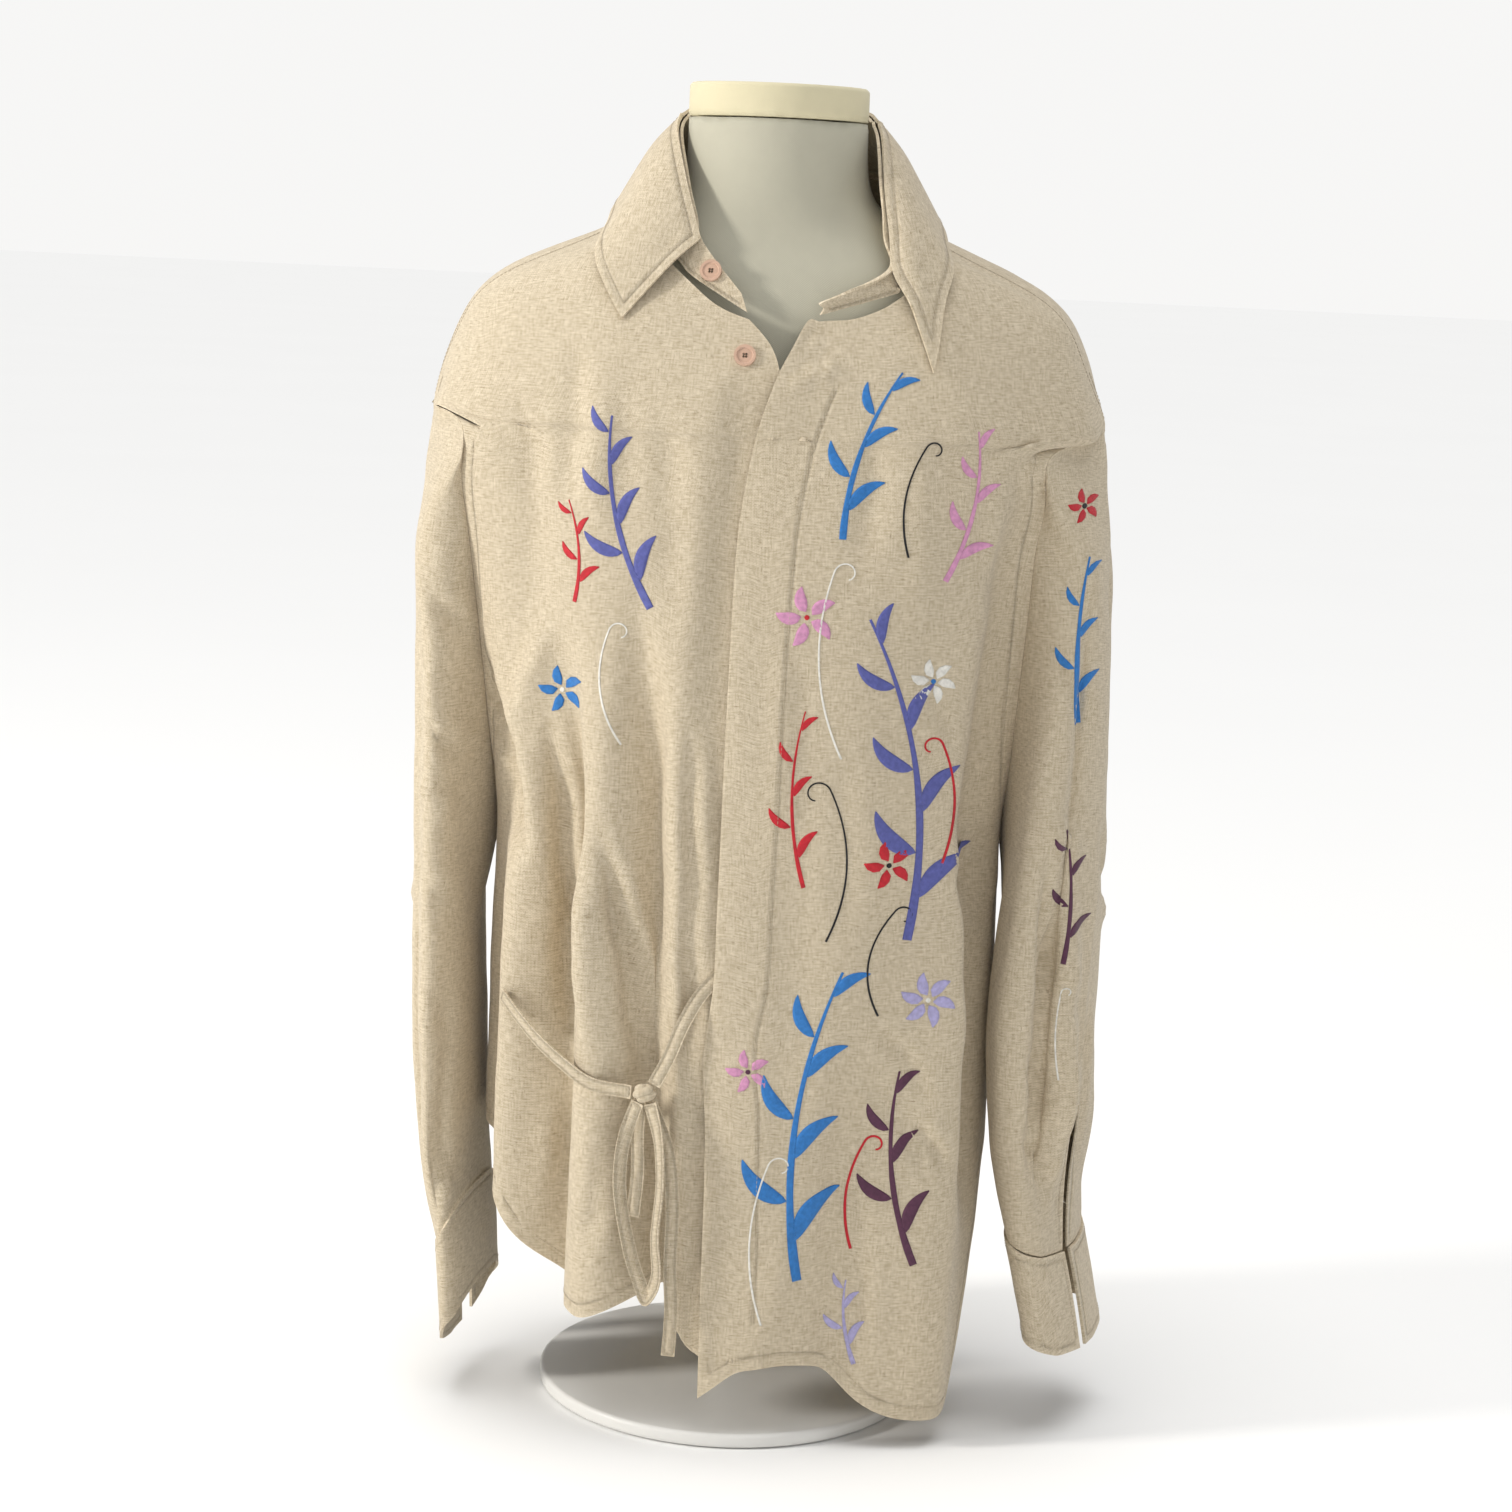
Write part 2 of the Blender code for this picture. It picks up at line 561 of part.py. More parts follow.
def collar_rows():
    fold, edge = collar_lines()
    points = []
    for share in np.linspace(0.0, 1.0, COLLAR_ROWS + 1):
        outward = (fold + edge) * np.array([0.5, 0.5, 0.0])
        outward = outward / np.linalg.norm(outward, axis=1, keepdims=True)
        roll = COLLAR_ROLL * math.sin(math.pi * share ** 0.6)
        points.append(fold + (edge - fold) * share + outward * roll)
    return np.array(points)


def stand_rows():
    """The collar stand, from the neckline up to just inside the fold of the leaf."""
    fold, _ = collar_lines()
    inward = fold * np.array([1.0, 1.0, 0.0])
    fold = fold - STAND_INSIDE * inward / np.linalg.norm(inward, axis=1, keepdims=True)
    fold[:, 2] -= STAND_UNDER
    top = np.concatenate([[STAND_RIGHT_TOP], fold, [STAND_LEFT_TOP]])
    turn = np.degrees(np.arctan2(top[:, 0], -top[:, 1]))
    turn = np.where(turn > STAND_RIGHT_ANGLE, turn - 360.0, turn)
    turn[0] = STAND_RIGHT_ANGLE
    turn[-1] = STAND_LEFT_ANGLE - 360.0
    base = body_point(turn, neck_height(turn) + STAND_RISE, -STAND_RISE * 0.2)
    return np.array([base + (top - base) * up for up in np.linspace(0.0, 1.0, STAND_ROWS + 1)])


def smooth_way(points, step):
    """Points a step apart on a smooth line through a few points."""
    points = np.array(points, float)
    lengths = np.concatenate([[0.0], np.cumsum(np.linalg.norm(np.diff(points, axis=0), axis=1))])
    at = np.linspace(0.0, lengths[-1], max(3, int(round(lengths[-1] / step))) + 1)
    tangent = np.gradient(points, lengths, axis=0)
    i = np.clip(np.searchsorted(lengths, at) - 1, 0, len(lengths) - 2)
    span = (lengths[i + 1] - lengths[i])[:, None]
    t = (at - lengths[i])[:, None] / span
    near = (1 + 2 * t) * (1 - t) ** 2 * points[i] + t * (1 - t) ** 2 * span * tangent[i]
    far = t * t * (3 - 2 * t) * points[i + 1] + t * t * (t - 1) * span * tangent[i + 1]
    return near + far


def front_depth(x, z):
    """Y of the shirt's front, folds left out, where a strip crosses it."""
    half = through(BODY_RINGS, BODY_COLUMNS, "half", z)
    front = through(BODY_RINGS, BODY_COLUMNS, "front", z)
    return -front * (1 - np.abs(x / half) ** RING_POWER) ** (1 / RING_POWER)


def tie_rows(rows):
    """A strip's two edges along its way over the front of the shirt."""
    table = np.array(rows)
    x, z, lift, turn = table.T
    place = np.stack([x, front_depth(x, z) - lift, z], -1)
    way = smooth_way(place, TIE_STEP)
    twist = np.radians(np.interp(np.linspace(0, 1, len(way)), np.linspace(0, 1, len(turn)), turn))
    heading = np.gradient(way, axis=0)
    heading = heading / np.linalg.norm(heading, axis=1, keepdims=True)
    outward = way * np.array([1.0, 1.0, 0.0])
    outward = outward / np.linalg.norm(outward, axis=1, keepdims=True)
    across = np.cross(heading, outward)
    across = across / np.linalg.norm(across, axis=1, keepdims=True)
    width = across * np.cos(twist)[:, None] + outward * np.sin(twist)[:, None]
    return np.array([way + width * TIE_WIDTH * side for side in (0.5, -0.5)])


def material(name, colour, roughness):
    made = bpy.data.materials.new(name)
    made.use_nodes = True
    shader = made.node_tree.nodes["Principled BSDF"]
    shader.inputs["Base Color"].default_value = colour
    shader.inputs["Roughness"].default_value = roughness
    shader.inputs["Metallic"].default_value = 0.0
    return made


def add_mesh(name, verts, faces, colour, roughness=0.9):
    mesh = bpy.data.meshes.new(name)
    mesh.from_pydata([tuple(v) for v in verts], [], faces)
    mesh.materials.append(material(name, colour, roughness))
    mesh.shade_smooth()
    obj = bpy.data.objects.new(name, mesh)
    bpy.data.collections["linen shirt"].objects.link(obj)
    return obj


def add_sheet(name, grid, thickness, closed=False, skip=None, colour=LINEN):
    """A cloth wall over a grid of points, rows down and columns across, thickened inwards."""
    rows, columns = grid.shape[:2]
    faces = []
    for row in range(rows - 1):
        for column in range(columns if closed else columns - 1):
            if skip and skip(row, column):
                continue
            right = (column + 1) % columns
            faces.append((
                row * columns + column,
                (row + 1) * columns + column,
                (row + 1) * columns + right,
                row * columns + right,
            ))
    obj = add_mesh(name, grid.reshape(-1, 3), faces, colour)
    solid = obj.modifiers.new("cloth", "SOLIDIFY")
    solid.thickness = thickness
    solid.offset = -1.0
    solid.use_even_offset = True
    solid.thickness_clamp = 0.0
    return obj


def add_tube(name, rings, colour, roughness=0.9):
    """A closed solid through rings of points, from the top one down."""
    count = rings.shape[1]
    faces = [tuple(range(count - 1, -1, -1))]
    for row in range(len(rings) - 1):
        for column in range(count):
            right = (column + 1) % count
            faces.append((
                row * count + column,
                (row + 1) * count + column,
                (row + 1) * count + right,
                row * count + right,
            ))
    faces.append(tuple((len(rings) - 1) * count + i for i in range(count)))
    obj = add_mesh(name, rings.reshape(-1, 3), faces, colour, roughness)
    clean = bmesh.new()
    clean.from_mesh(obj.data)
    bmesh.ops.recalc_face_normals(clean, faces=clean.faces)
    clean.to_mesh(obj.data)
    clean.free()
    return obj


def form_rings(rows, levels):
    angle = np.linspace(0.0, 360.0, FORM_SIDES, endpoint=False)
    rings = []
    for z in levels:
        turn = np.radians(angle)
        half = through(rows, FORM_COLUMNS, "half", z)
        front = through(rows, FORM_COLUMNS, "front", z)
        back = through(rows, FORM_COLUMNS, "back", z)
        deep = np.where(np.cos(turn) > 0, front, back)
        power = 2.0 + 0.2 * smooth((0.80 - z) / 0.05)
        radius = (np.abs(np.sin(turn) / half) ** power + np.abs(np.cos(turn) / deep) ** power) ** (-1 / power)
        middle = through(rows, FORM_COLUMNS, "y", z)
        rings.append(np.stack([radius * np.sin(turn), middle - radius * np.cos(turn), z + 0.0 * radius], -1))
    return rings


def add_form():
    top = FORM_RINGS[0][0]
    low = FORM_RINGS[-1][0]
    shoulder = np.linspace(SHOULDER_TOP, SHOULDER_END, SHOULDER_LEVELS)
    chest = np.linspace(CHEST_TOP, low, CHEST_LEVELS)
    levels = np.concatenate([[top, FORM_NECK_LEVEL], shoulder, chest])
    rings = form_rings(FORM_RINGS, levels)
    last = rings[-1]
    for share, drop in FORM_END_RINGS:
        ring = last * np.array([share, share, 1.0])
        ring[:, 2] = low - FORM_END * drop
        rings.append(ring)
    add_tube("form_torso", np.array(rings), FORM_CLOTH)
    cap_high, cap_low = CAP_RINGS[0][0], CAP_RINGS[1][0]
    cap = form_rings(CAP_RINGS, (cap_high - CAP_EDGE, cap_low))
    lid = form_rings(CAP_RINGS, (cap_high,))[0]
    middle = np.array([0.0, CAP_RINGS[0][1], cap_high])
    lid = middle + (lid - middle) * CAP_LID_SHARE
    add_tube("form_cap", np.array([lid] + cap), CAP_CLOTH)


def add_foot():
    post_low = BASE_THICKNESS + REST_GAP
    post_high = FORM_RINGS[-1][0] - FORM_END - REST_GAP
    post_middle = 0.5 * (post_high + post_low)
    bpy.ops.mesh.primitive_cylinder_add(
        vertices=20, radius=POST_RADIUS, depth=post_high - post_low, location=(0, 0, post_middle)
    )
    keep(bpy.context.object, "form_post", FOOT_COLOUR, 0.4)
    bpy.ops.mesh.primitive_cylinder_add(
        vertices=40, radius=BASE_RADIUS, depth=BASE_THICKNESS, location=(0, 0, 0.5 * BASE_THICKNESS)
    )
    base = bpy.context.object
    keep(base, "form_base", FOOT_COLOUR, 0.4)
    edge = base.modifiers.new("edge", "BEVEL")
    edge.width = BASE_EDGE
    edge.segments = 1


def keep(obj, name, colour, roughness):
    """Gives a primitive its name, material and place in the collection."""
    obj.name = name
    obj.data.name = name
    obj.data.materials.append(material(name, colour, roughness))
    obj.data.shade_smooth()
    for holder in list(obj.users_collection):
        holder.objects.unlink(obj)
    bpy.data.collections["linen shirt"].objects.link(obj)


def add_button(name, place, outward):
    """A dished button with four holes, lying on the cloth with its face outward."""
    half = 0.5 * BUTTON_THICKNESS
    bpy.ops.mesh.primitive_cylinder_add(vertices=24, radius=BUTTON_RADIUS, depth=BUTTON_THICKNESS)
    button = bpy.context.object
    keep(button, name, BUTTON_COLOUR, 0.35)
    shape = bmesh.new()
    shape.from_mesh(button.data)
    face = max(shape.faces, key=lambda f: f.calc_center_median().z)
    bmesh.ops.inset_region(shape, faces=[face], thickness=BUTTON_RIM)
    bmesh.ops.inset_region(shape, faces=[face], thickness=0.4 * BUTTON_RIM, depth=-BUTTON_DISH)
    shape.to_mesh(button.data)
    shape.free()
    normal = outward / np.linalg.norm(outward)
    tilt = math.acos(float(normal[2]))
    facing = math.atan2(float(normal[1]), float(normal[0]))
    centre = place + normal * (half + BUTTON_GAP)
    button.location = centre
    button.rotation_euler = (0.0, tilt, facing)
    bpy.context.view_layer.update()
    for x, y in ((-1, -1), (-1, 1), (1, -1), (1, 1)):
        bpy.ops.mesh.primitive_cylinder_add(
            vertices=10, radius=BUTTON_HOLE_RADIUS, depth=4 * BUTTON_THICKNESS
        )
        cutter = bpy.context.object
        cutter.name = f"{name}_hole_{x}_{y}"
        cutter.display_type = "WIRE"
        cutter.hide_render = True
        cutter.parent = button
        cutter.location = (x * 0.5 * BUTTON_HOLE_SPREAD, y * 0.5 * BUTTON_HOLE_SPREAD, 0.0)
        for holder in list(cutter.users_collection):
            holder.objects.unlink(cutter)
        bpy.data.collections["cutters"].objects.link(cutter)
        cut = button.modifiers.new("hole", "BOOLEAN")
        cut.operation = "DIFFERENCE"
        cut.object = cutter


def outward_at(angle, z, lift):
    """The body's outward direction, from three near points of it."""
    here = body_point(angle, z, lift)
    aside = body_point(angle + 0.5, z, lift) - here
    above = body_point(angle, z + 0.002, lift) - here
    return np.cross(aside, above)


def add_knot():
    x, z, lift = KNOT_AT
    bpy.ops.mesh.primitive_uv_sphere_add(segments=12, ring_count=8, radius=1.0)
    knot = bpy.context.object
    knot.scale = KNOT_SIZE
    knot.location = (x, float(front_depth(x, z)) - lift, z)
    bpy.ops.object.transform_apply(location=False, rotation=False, scale=True)
    keep(knot, "tie_knot", LINEN, 0.9)


def add_sleeve(side_name, rows, folds, seam_height, tilt, apart, vent_column):
    grid, around = sleeve_rows(rows, folds, seam_height, tilt)
    vent_from = SLEEVE_ROWS - VENT_ROWS
    flip = grid[:, ::-1] if rows[0][1] > 0 else grid
    turns = around[::-1] if rows[0][1] > 0 else around
    add_sheet(
        f"sleeve_{side_name}", flip, CLOTH, closed=True,
        skip=lambda row, column: column == vent_column and row >= vent_from,
    )
    opened = np.roll(np.arange(len(turns)), -(vent_column + 1))
    cuff = cuff_rows(rows, folds, turns[opened], seam_height, tilt, apart)
    add_sheet(f"cuff_{side_name}", cuff, DOUBLE_CLOTH)


def add_body():
    right = front_rows(-1, RIGHT_EDGE, RIGHT_HEM)
    left = front_rows(1, LEFT_EDGE, LEFT_HEM)
    add_sheet("front_right", right[:, ::-1], CLOTH)
    add_sheet("front_left", left, CLOTH)
    add_sheet("yoke", yoke_rows(), CLOTH)
    add_sheet("back", back_rows(), CLOTH)


def add_collar():
    add_sheet("collar_leaf", collar_rows()[:, ::-1], DOUBLE_CLOTH)
    add_sheet("collar_stand", stand_rows()[::-1, ::-1], DOUBLE_CLOTH)


def add_buttons():
    """One button on the end of the collar stand and one on the front under it."""
    stand = stand_rows()
    low, high = stand[0], stand[-1]
    low_end = low[0] + (low[1] - low[0]) * STAND_BUTTON_SHARE
    high_end = high[0] + (high[1] - high[0]) * STAND_BUTTON_SHARE
    place = 0.5 * (low_end + high_end)
    add_button("button_stand", place, np.cross(low[0] - low[1], high_end - low_end))
    angle, z = FRONT_BUTTON
    add_button("button_front", body_point(angle, z), outward_at(angle, z, 0.0))


def add_tie():
    for name, rows in (
        ("tie_side_run", SIDE_RUN),
        ("tie_placket_run", PLACKET_RUN),
        ("tie_loop", LOOP_NEAR),
        ("tie_tail_long", TAIL_LONG),
        ("tie_tail_short", TAIL_SHORT),
    ):
        add_sheet(name, tie_rows(rows), TIE_CLOTH)
    add_knot()


def main():
    for obj in list(bpy.data.objects):
        bpy.data.objects.remove(obj, do_unlink=True)
    for name in ("linen shirt", "cutters"):
        made = bpy.data.collections.new(name)
        bpy.context.scene.collection.children.link(made)
    bpy.data.collections["cutters"].hide_render = True
    add_form()
    add_foot()
    add_body()
    add_collar()
    add_sleeve(
        "right", RIGHT_SLEEVE, RIGHT_SLEEVE_FOLDS,
        RIGHT_CUFF_SEAM, RIGHT_CUFF_TILT, RIGHT_CUFF_APART, RIGHT_VENT_COLUMN,
    )
    add_sleeve(
        "left", LEFT_SLEEVE, LEFT_SLEEVE_FOLDS,
        LEFT_CUFF_SEAM, LEFT_CUFF_TILT, LEFT_CUFF_APART, LEFT_VENT_COLUMN,
    )
    add_tie()
    add_buttons()


main()
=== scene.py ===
"""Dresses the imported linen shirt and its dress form: smooth creased cloth, stitching, ties and finishes."""

import math

import bmesh
import bpy
import numpy as np
from bpy.props import FloatProperty, FloatVectorProperty, IntProperty
from mathutils import Matrix, Vector
from mathutils.bvhtree import BVHTree
from mathutils.kdtree import KDTree


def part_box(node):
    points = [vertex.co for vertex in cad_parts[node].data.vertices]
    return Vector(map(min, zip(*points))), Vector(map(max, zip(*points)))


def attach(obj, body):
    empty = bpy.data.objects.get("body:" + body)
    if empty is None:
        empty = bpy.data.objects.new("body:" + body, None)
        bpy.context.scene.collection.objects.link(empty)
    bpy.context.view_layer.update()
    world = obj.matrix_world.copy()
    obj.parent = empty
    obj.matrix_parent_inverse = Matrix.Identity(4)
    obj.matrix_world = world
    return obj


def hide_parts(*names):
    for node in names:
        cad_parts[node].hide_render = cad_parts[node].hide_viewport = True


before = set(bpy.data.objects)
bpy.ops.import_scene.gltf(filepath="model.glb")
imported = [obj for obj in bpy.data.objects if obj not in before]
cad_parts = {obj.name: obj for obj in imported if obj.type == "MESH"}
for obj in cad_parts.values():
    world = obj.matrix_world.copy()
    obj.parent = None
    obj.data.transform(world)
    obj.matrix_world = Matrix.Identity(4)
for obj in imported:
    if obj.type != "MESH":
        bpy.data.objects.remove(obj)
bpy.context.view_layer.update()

bl_info = {
    "name": "Linen Shirt Dresser",
    "version": (1, 0, 0),
    "blender": (4, 5, 0),
    "location": "View3D > Sidebar > Shirt",
    "description": "Models the cloth, stitching and finishes of a linen shirt on its dress form",
    "category": "Add Mesh",
}

# Every cloth piece: its wall, the width, length and area of its cut, how it is held and what it rests on
CLOTH_COLUMNS = ("node", "wall", "cut_width", "cut_length", "cut_area", "held", "rests_on")
CLOTH = (
    ("front_left", 0.0012, 0.300, 0.800, 0.180, "hung", "cloth_yoke"),
    ("front_right", 0.0012, 0.330, 0.780, 0.186, "hung", "cloth_yoke"),
    ("back", 0.0012, 0.560, 0.720, 0.292, "hung", "cloth_yoke"),
    ("yoke", 0.0012, 0.500, 0.190, 0.076, "draped", "form_torso"),
    ("collar_stand", 0.0020, 0.450, 0.038, 0.0168, "stretched", "cloth_yoke"),
    ("collar_leaf", 0.0020, 0.480, 0.085, 0.0342, "folded", "cloth_collar_stand"),
    ("sleeve_right", 0.0012, 0.310, 0.560, 0.126, "hung", "cloth_yoke"),
    ("sleeve_left", 0.0012, 0.330, 0.560, 0.138, "hung", "cloth_yoke"),
    ("cuff_right", 0.0020, 0.250, 0.068, 0.0154, "hung", "cloth_sleeve_right"),
    ("cuff_left", 0.0020, 0.260, 0.068, 0.0174, "hung", "cloth_sleeve_left"),
    ("tie_side_run", 0.0010, 0.010, 0.127, 0.00114, "stretched", "cloth_front_right"),
    ("tie_placket_run", 0.0010, 0.010, 0.088, 0.00079, "stretched", "cloth_front_right"),
    ("tie_loop", 0.0010, 0.010, 0.272, 0.00245, "folded", "tie_knot_wraps"),
    ("tie_tail_long", 0.0010, 0.010, 0.176, 0.00158, "hung", "tie_knot_wraps"),
    ("tie_tail_short", 0.0010, 0.010, 0.082, 0.00073, "hung", "tie_knot_wraps"),
)

# The longest rim edge that parts a wall's two sides, as a share of the wall. The first share that does is
# used, and the last one, of nothing, parts the wall along its sharp edges instead
RIM_SHARES = (1.28, 1.5, 1.7, 1.9, 0.0)
RIM_ANGLE = math.radians(66.0)
MOST_OF_WALL = 0.6
MERGE_DISTANCE = 1e-5
TINY = 1e-9
TWO_MAPS = ("sleeve_right", "sleeve_left")
LEAST_TWICE = 1e-12
SMOOTH_LEVELS = 3
FIT_ROUNDS = 4
SMOOTH_ANGLE = math.radians(50.0)
FAR = 1.0
CLOSE_SHARES = (0.0, 0.25, 0.5, 0.75)


def rows_of(table, columns):
    return [dict(zip(columns, row)) for row in table]


class ShirtSizes(bpy.types.PropertyGroup):
    thread_pitch: FloatProperty(
        name="Thread pitch", description="Distance between threads of the linen",
        default=0.00085, unit="LENGTH",
    )
    stitch_length: FloatProperty(
        name="Stitch length", description="Length of one stitch that shows",
        default=0.0022, unit="LENGTH",
    )
    stitch_pitch: FloatProperty(
        name="Stitch pitch", description="Distance from one stitch to the next",
        default=0.0030, unit="LENGTH",
    )
    stitch_thickness: FloatProperty(
        name="Stitch thickness", description="Thickness of the sewing thread",
        default=0.00042, unit="LENGTH",
    )
    paint_thickness: FloatProperty(
        name="Motif thickness", description="Thickness of the embroidered motifs",
        default=0.00025, unit="LENGTH",
    )
    round_sides: IntProperty(
        name="Round sides", description="Sides of the post and the base", default=96, min=24
    )


class ShirtColours(bpy.types.PropertyGroup):
    linen: FloatVectorProperty(
        name="Linen", description="Lengthwise threads",
        default=(0.445, 0.368, 0.250), size=3, subtype="COLOR",
    )
    linen_light: FloatVectorProperty(
        name="Light linen", description="Crosswise threads",
        default=(0.680, 0.592, 0.452), size=3, subtype="COLOR",
    )
    linen_dark: FloatVectorProperty(
        name="Linen fleck", description="Slubs and flecks",
        default=(0.250, 0.185, 0.115), size=3, subtype="COLOR",
    )
    thread: FloatVectorProperty(
        name="Sewing thread", description="Thread of the seams",
        default=(0.500, 0.420, 0.300), size=3, subtype="COLOR",
    )
    button: FloatVectorProperty(
        name="Button", description="Pinkish beige button",
        default=(0.560, 0.370, 0.270), size=3, subtype="COLOR",
    )
    form: FloatVectorProperty(
        name="Form cover", description="Cloth cover of the dress form",
        default=(0.520, 0.500, 0.400), size=3, subtype="COLOR",
    )
    cap: FloatVectorProperty(
        name="Neck cap", description="Yellower band at the neck",
        default=(0.700, 0.640, 0.440), size=3, subtype="COLOR",
    )
    foot: FloatVectorProperty(
        name="Stand", description="Paint of the post and base",
        default=(0.800, 0.790, 0.760), size=3, subtype="COLOR",
    )


def deselect():
    for obj in bpy.context.selected_objects:
        obj.select_set(False)


def choose(obj):
    deselect()
    obj.select_set(True)
    bpy.context.view_layer.objects.active = obj


def apply_modifier(obj, name):
    choose(obj)
    bpy.ops.object.modifier_apply(modifier=name)


def object_of(name, verts, faces):
    mesh = bpy.data.meshes.new(name)
    mesh.from_pydata([tuple(v) for v in verts], [], faces)
    obj = bpy.data.objects.new(name, mesh)
    bpy.context.scene.collection.objects.link(obj)
    return obj


def coordinates(mesh):
    place = np.empty(len(mesh.vertices) * 3, np.float32)
    mesh.vertices.foreach_get("co", place)
    return place.reshape(-1, 3).astype(float)


def set_coordinates(mesh, place):
    mesh.vertices.foreach_set("co", np.asarray(place, np.float32).ravel())
    mesh.update()


def vertex_normals(mesh):
    normal = np.empty(len(mesh.vertices) * 3, np.float32)
    mesh.vertices.foreach_get("normal", normal)
    return normal.reshape(-1, 3).astype(float)


def smooth(share):
    share = np.clip(share, 0.0, 1.0)
    return share * share * (3 - 2 * share)


def near_tree(places):
    """A tree that finds the nearest of many places."""
    tree = KDTree(len(places))
    for i, place in enumerate(places):
        tree.insert(place, i)
    tree.balance()
    return tree


def close_points(ring):
    """Points set close along a closed run of points."""
    after = np.roll(ring, -1, axis=0)
    return np.concatenate([ring + (after - ring) * share for share in CLOSE_SHARES])


def read_map(layer, count):
    flat = np.empty(count * 2, np.float32)
    layer.uv.foreach_get("vector", flat)
    return flat.reshape(-1, 2).astype(float)


def write_map(layer, flat):
    layer.uv.foreach_set("vector", np.asarray(flat, np.float32).ravel())


def merged(node):
    """A bmesh of a frame node, its loose triangles joined."""
    shape = bmesh.new()
    shape.from_mesh(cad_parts[node].data)
    bmesh.ops.remove_doubles(shape, verts=shape.verts, dist=MERGE_DISTANCE)
    return shape


def as_object(shape, name):
    """A new object of a bmesh, which is freed."""
    mesh = bpy.data.meshes.new(name)
    shape.to_mesh(mesh)
    shape.free()
    obj = bpy.data.objects.new(name, mesh)
    bpy.context.scene.collection.objects.link(obj)
    return obj


def smoothing(obj, levels, **settings):
    modifier = obj.modifiers.new("smooth", "SUBSURF")
    modifier.levels = levels
    modifier.render_levels = levels
    for setting, value in settings.items():
        setattr(modifier, setting, value)
    return modifier


# Cloth sheets, from the frame's own walls


def islands(shape, sharp=math.pi):
    """The groups of faces of a bmesh that join over edges less sharp than an angle."""
    left = set(shape.faces)
    groups = []
    while left:
        stack = [left.pop()]
        group = []
        while stack:
            face = stack.pop()
            group.append(face)
            for edge in face.edges:
                if edge.calc_face_angle(0.0) > sharp:
                    continue
                for other in edge.link_faces:
                    if other in left:
                        left.remove(other)
                        stack.append(other)
        groups.append(group)
    return groups


def outer_side(node, wall):
    """The outer side of a cloth wall, as a mesh of quads named for its piece."""
    low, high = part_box(node)
    middle = 0.5 * (low + high) if node.startswith(("sleeve", "cuff")) else Vector((0.0, 0.0, 0.0))
    for share in RIM_SHARES:
        shape = merged(node)
        rim = [f for f in shape.faces if min(e.calc_length() for e in f.edges) < share * wall]
        bmesh.ops.delete(shape, geom=rim, context="FACES")
        groups = islands(shape, math.pi if share else RIM_ANGLE)
        sizes = [sum(f.calc_area() for f in group) for group in groups]
        if max(sizes) < MOST_OF_WALL * sum(sizes):
            break
        shape.free()
    else:
        raise RuntimeError(f"the wall of {node} doesn't part into two sides")

    def facing(group):
        total = 0.0
        for face in group:
            outward = face.calc_center_median() - middle
            outward.z = 0.0
            total += face.calc_area() * face.normal.dot(outward.normalized())
        return total

    groups = sorted(groups, key=facing)
    bmesh.ops.delete(shape, geom=[f for g in groups[:-1] for f in g], context="FACES")
    bmesh.ops.join_triangles(
        shape, faces=shape.faces[:], angle_face_threshold=math.pi, angle_shape_threshold=math.pi
    )
    return as_object(shape, "cloth_" + node)


def lay_flat(obj, two_maps):
    """Unrolls a sheet into the map of its cut, in metres, lengthwise threads upright."""
    mesh = obj.data
    mesh.uv_layers.new(name="Cut")
    place = coordinates(mesh)
    centre = place.mean(0)
    behind = np.array([place[list(f.vertices)].mean(0)[1] > centre[1] for f in mesh.polygons])
    if not two_maps:
        behind[:] = False
    choose(obj)
    bpy.ops.object.mode_set(mode="EDIT")
    shape = bmesh.from_edit_mesh(mesh)
    shape.faces.ensure_lookup_table()
    for edge in shape.edges:
        edge.seam = len({bool(behind[f.index]) for f in edge.link_faces}) > 1
    bmesh.update_edit_mesh(mesh)
    bpy.ops.mesh.select_all(action="SELECT")
    bpy.ops.uv.unwrap(method="ANGLE_BASED", margin=0.0)
    bpy.ops.object.mode_set(mode="OBJECT")
    mesh.calc_loop_triangles()
    layer = mesh.uv_layers["Cut"]
    uv = read_map(layer, len(mesh.loops))
    corner = np.array([t.loops[:] for t in mesh.loop_triangles])
    vertex = np.array([t.vertices[:] for t in mesh.loop_triangles])
    group = behind[[t.polygon_index for t in mesh.loop_triangles]]
    loop_group = np.zeros(len(mesh.loops), bool)
    loop_group[corner[group].ravel()] = True
    for part in {bool(x) for x in group}:
        mine = group == part
        turn, scale = upright_turn(uv[corner[mine]], place[vertex[mine]])
        rotate = np.array([[math.cos(turn), -math.sin(turn)], [math.sin(turn), math.cos(turn)]])
        mine = loop_group == part
        uv[mine] = (uv[mine] @ rotate.T) * scale
    write_map(layer, uv)


def upright_turn(flat, solid):
    """The turn that sets the threads of a map upright, and the scale that gives it the cloth's true area."""
    side_a, side_b = flat[:, 1] - flat[:, 0], flat[:, 2] - flat[:, 0]
    twice = side_a[:, 0] * side_b[:, 1] - side_a[:, 1] * side_b[:, 0]
    area = 0.5 * np.linalg.norm(np.cross(solid[:, 1] - solid[:, 0], solid[:, 2] - solid[:, 0]), axis=1)
    scale = math.sqrt(area.sum() / (0.5 * np.abs(twice).sum()))
    rise_a, rise_b = solid[:, 1, 2] - solid[:, 0, 2], solid[:, 2, 2] - solid[:, 0, 2]
    safe = np.where(np.abs(twice) < LEAST_TWICE, 1.0, twice)
    across = (rise_a * side_b[:, 1] - rise_b * side_a[:, 1]) / safe
    upward = (rise_b * side_a[:, 0] - rise_a * side_b[:, 0]) / safe
    weight = area * (np.abs(twice) >= LEAST_TWICE)
    return math.atan2((across * weight).sum(), (upward * weight).sum()), scale


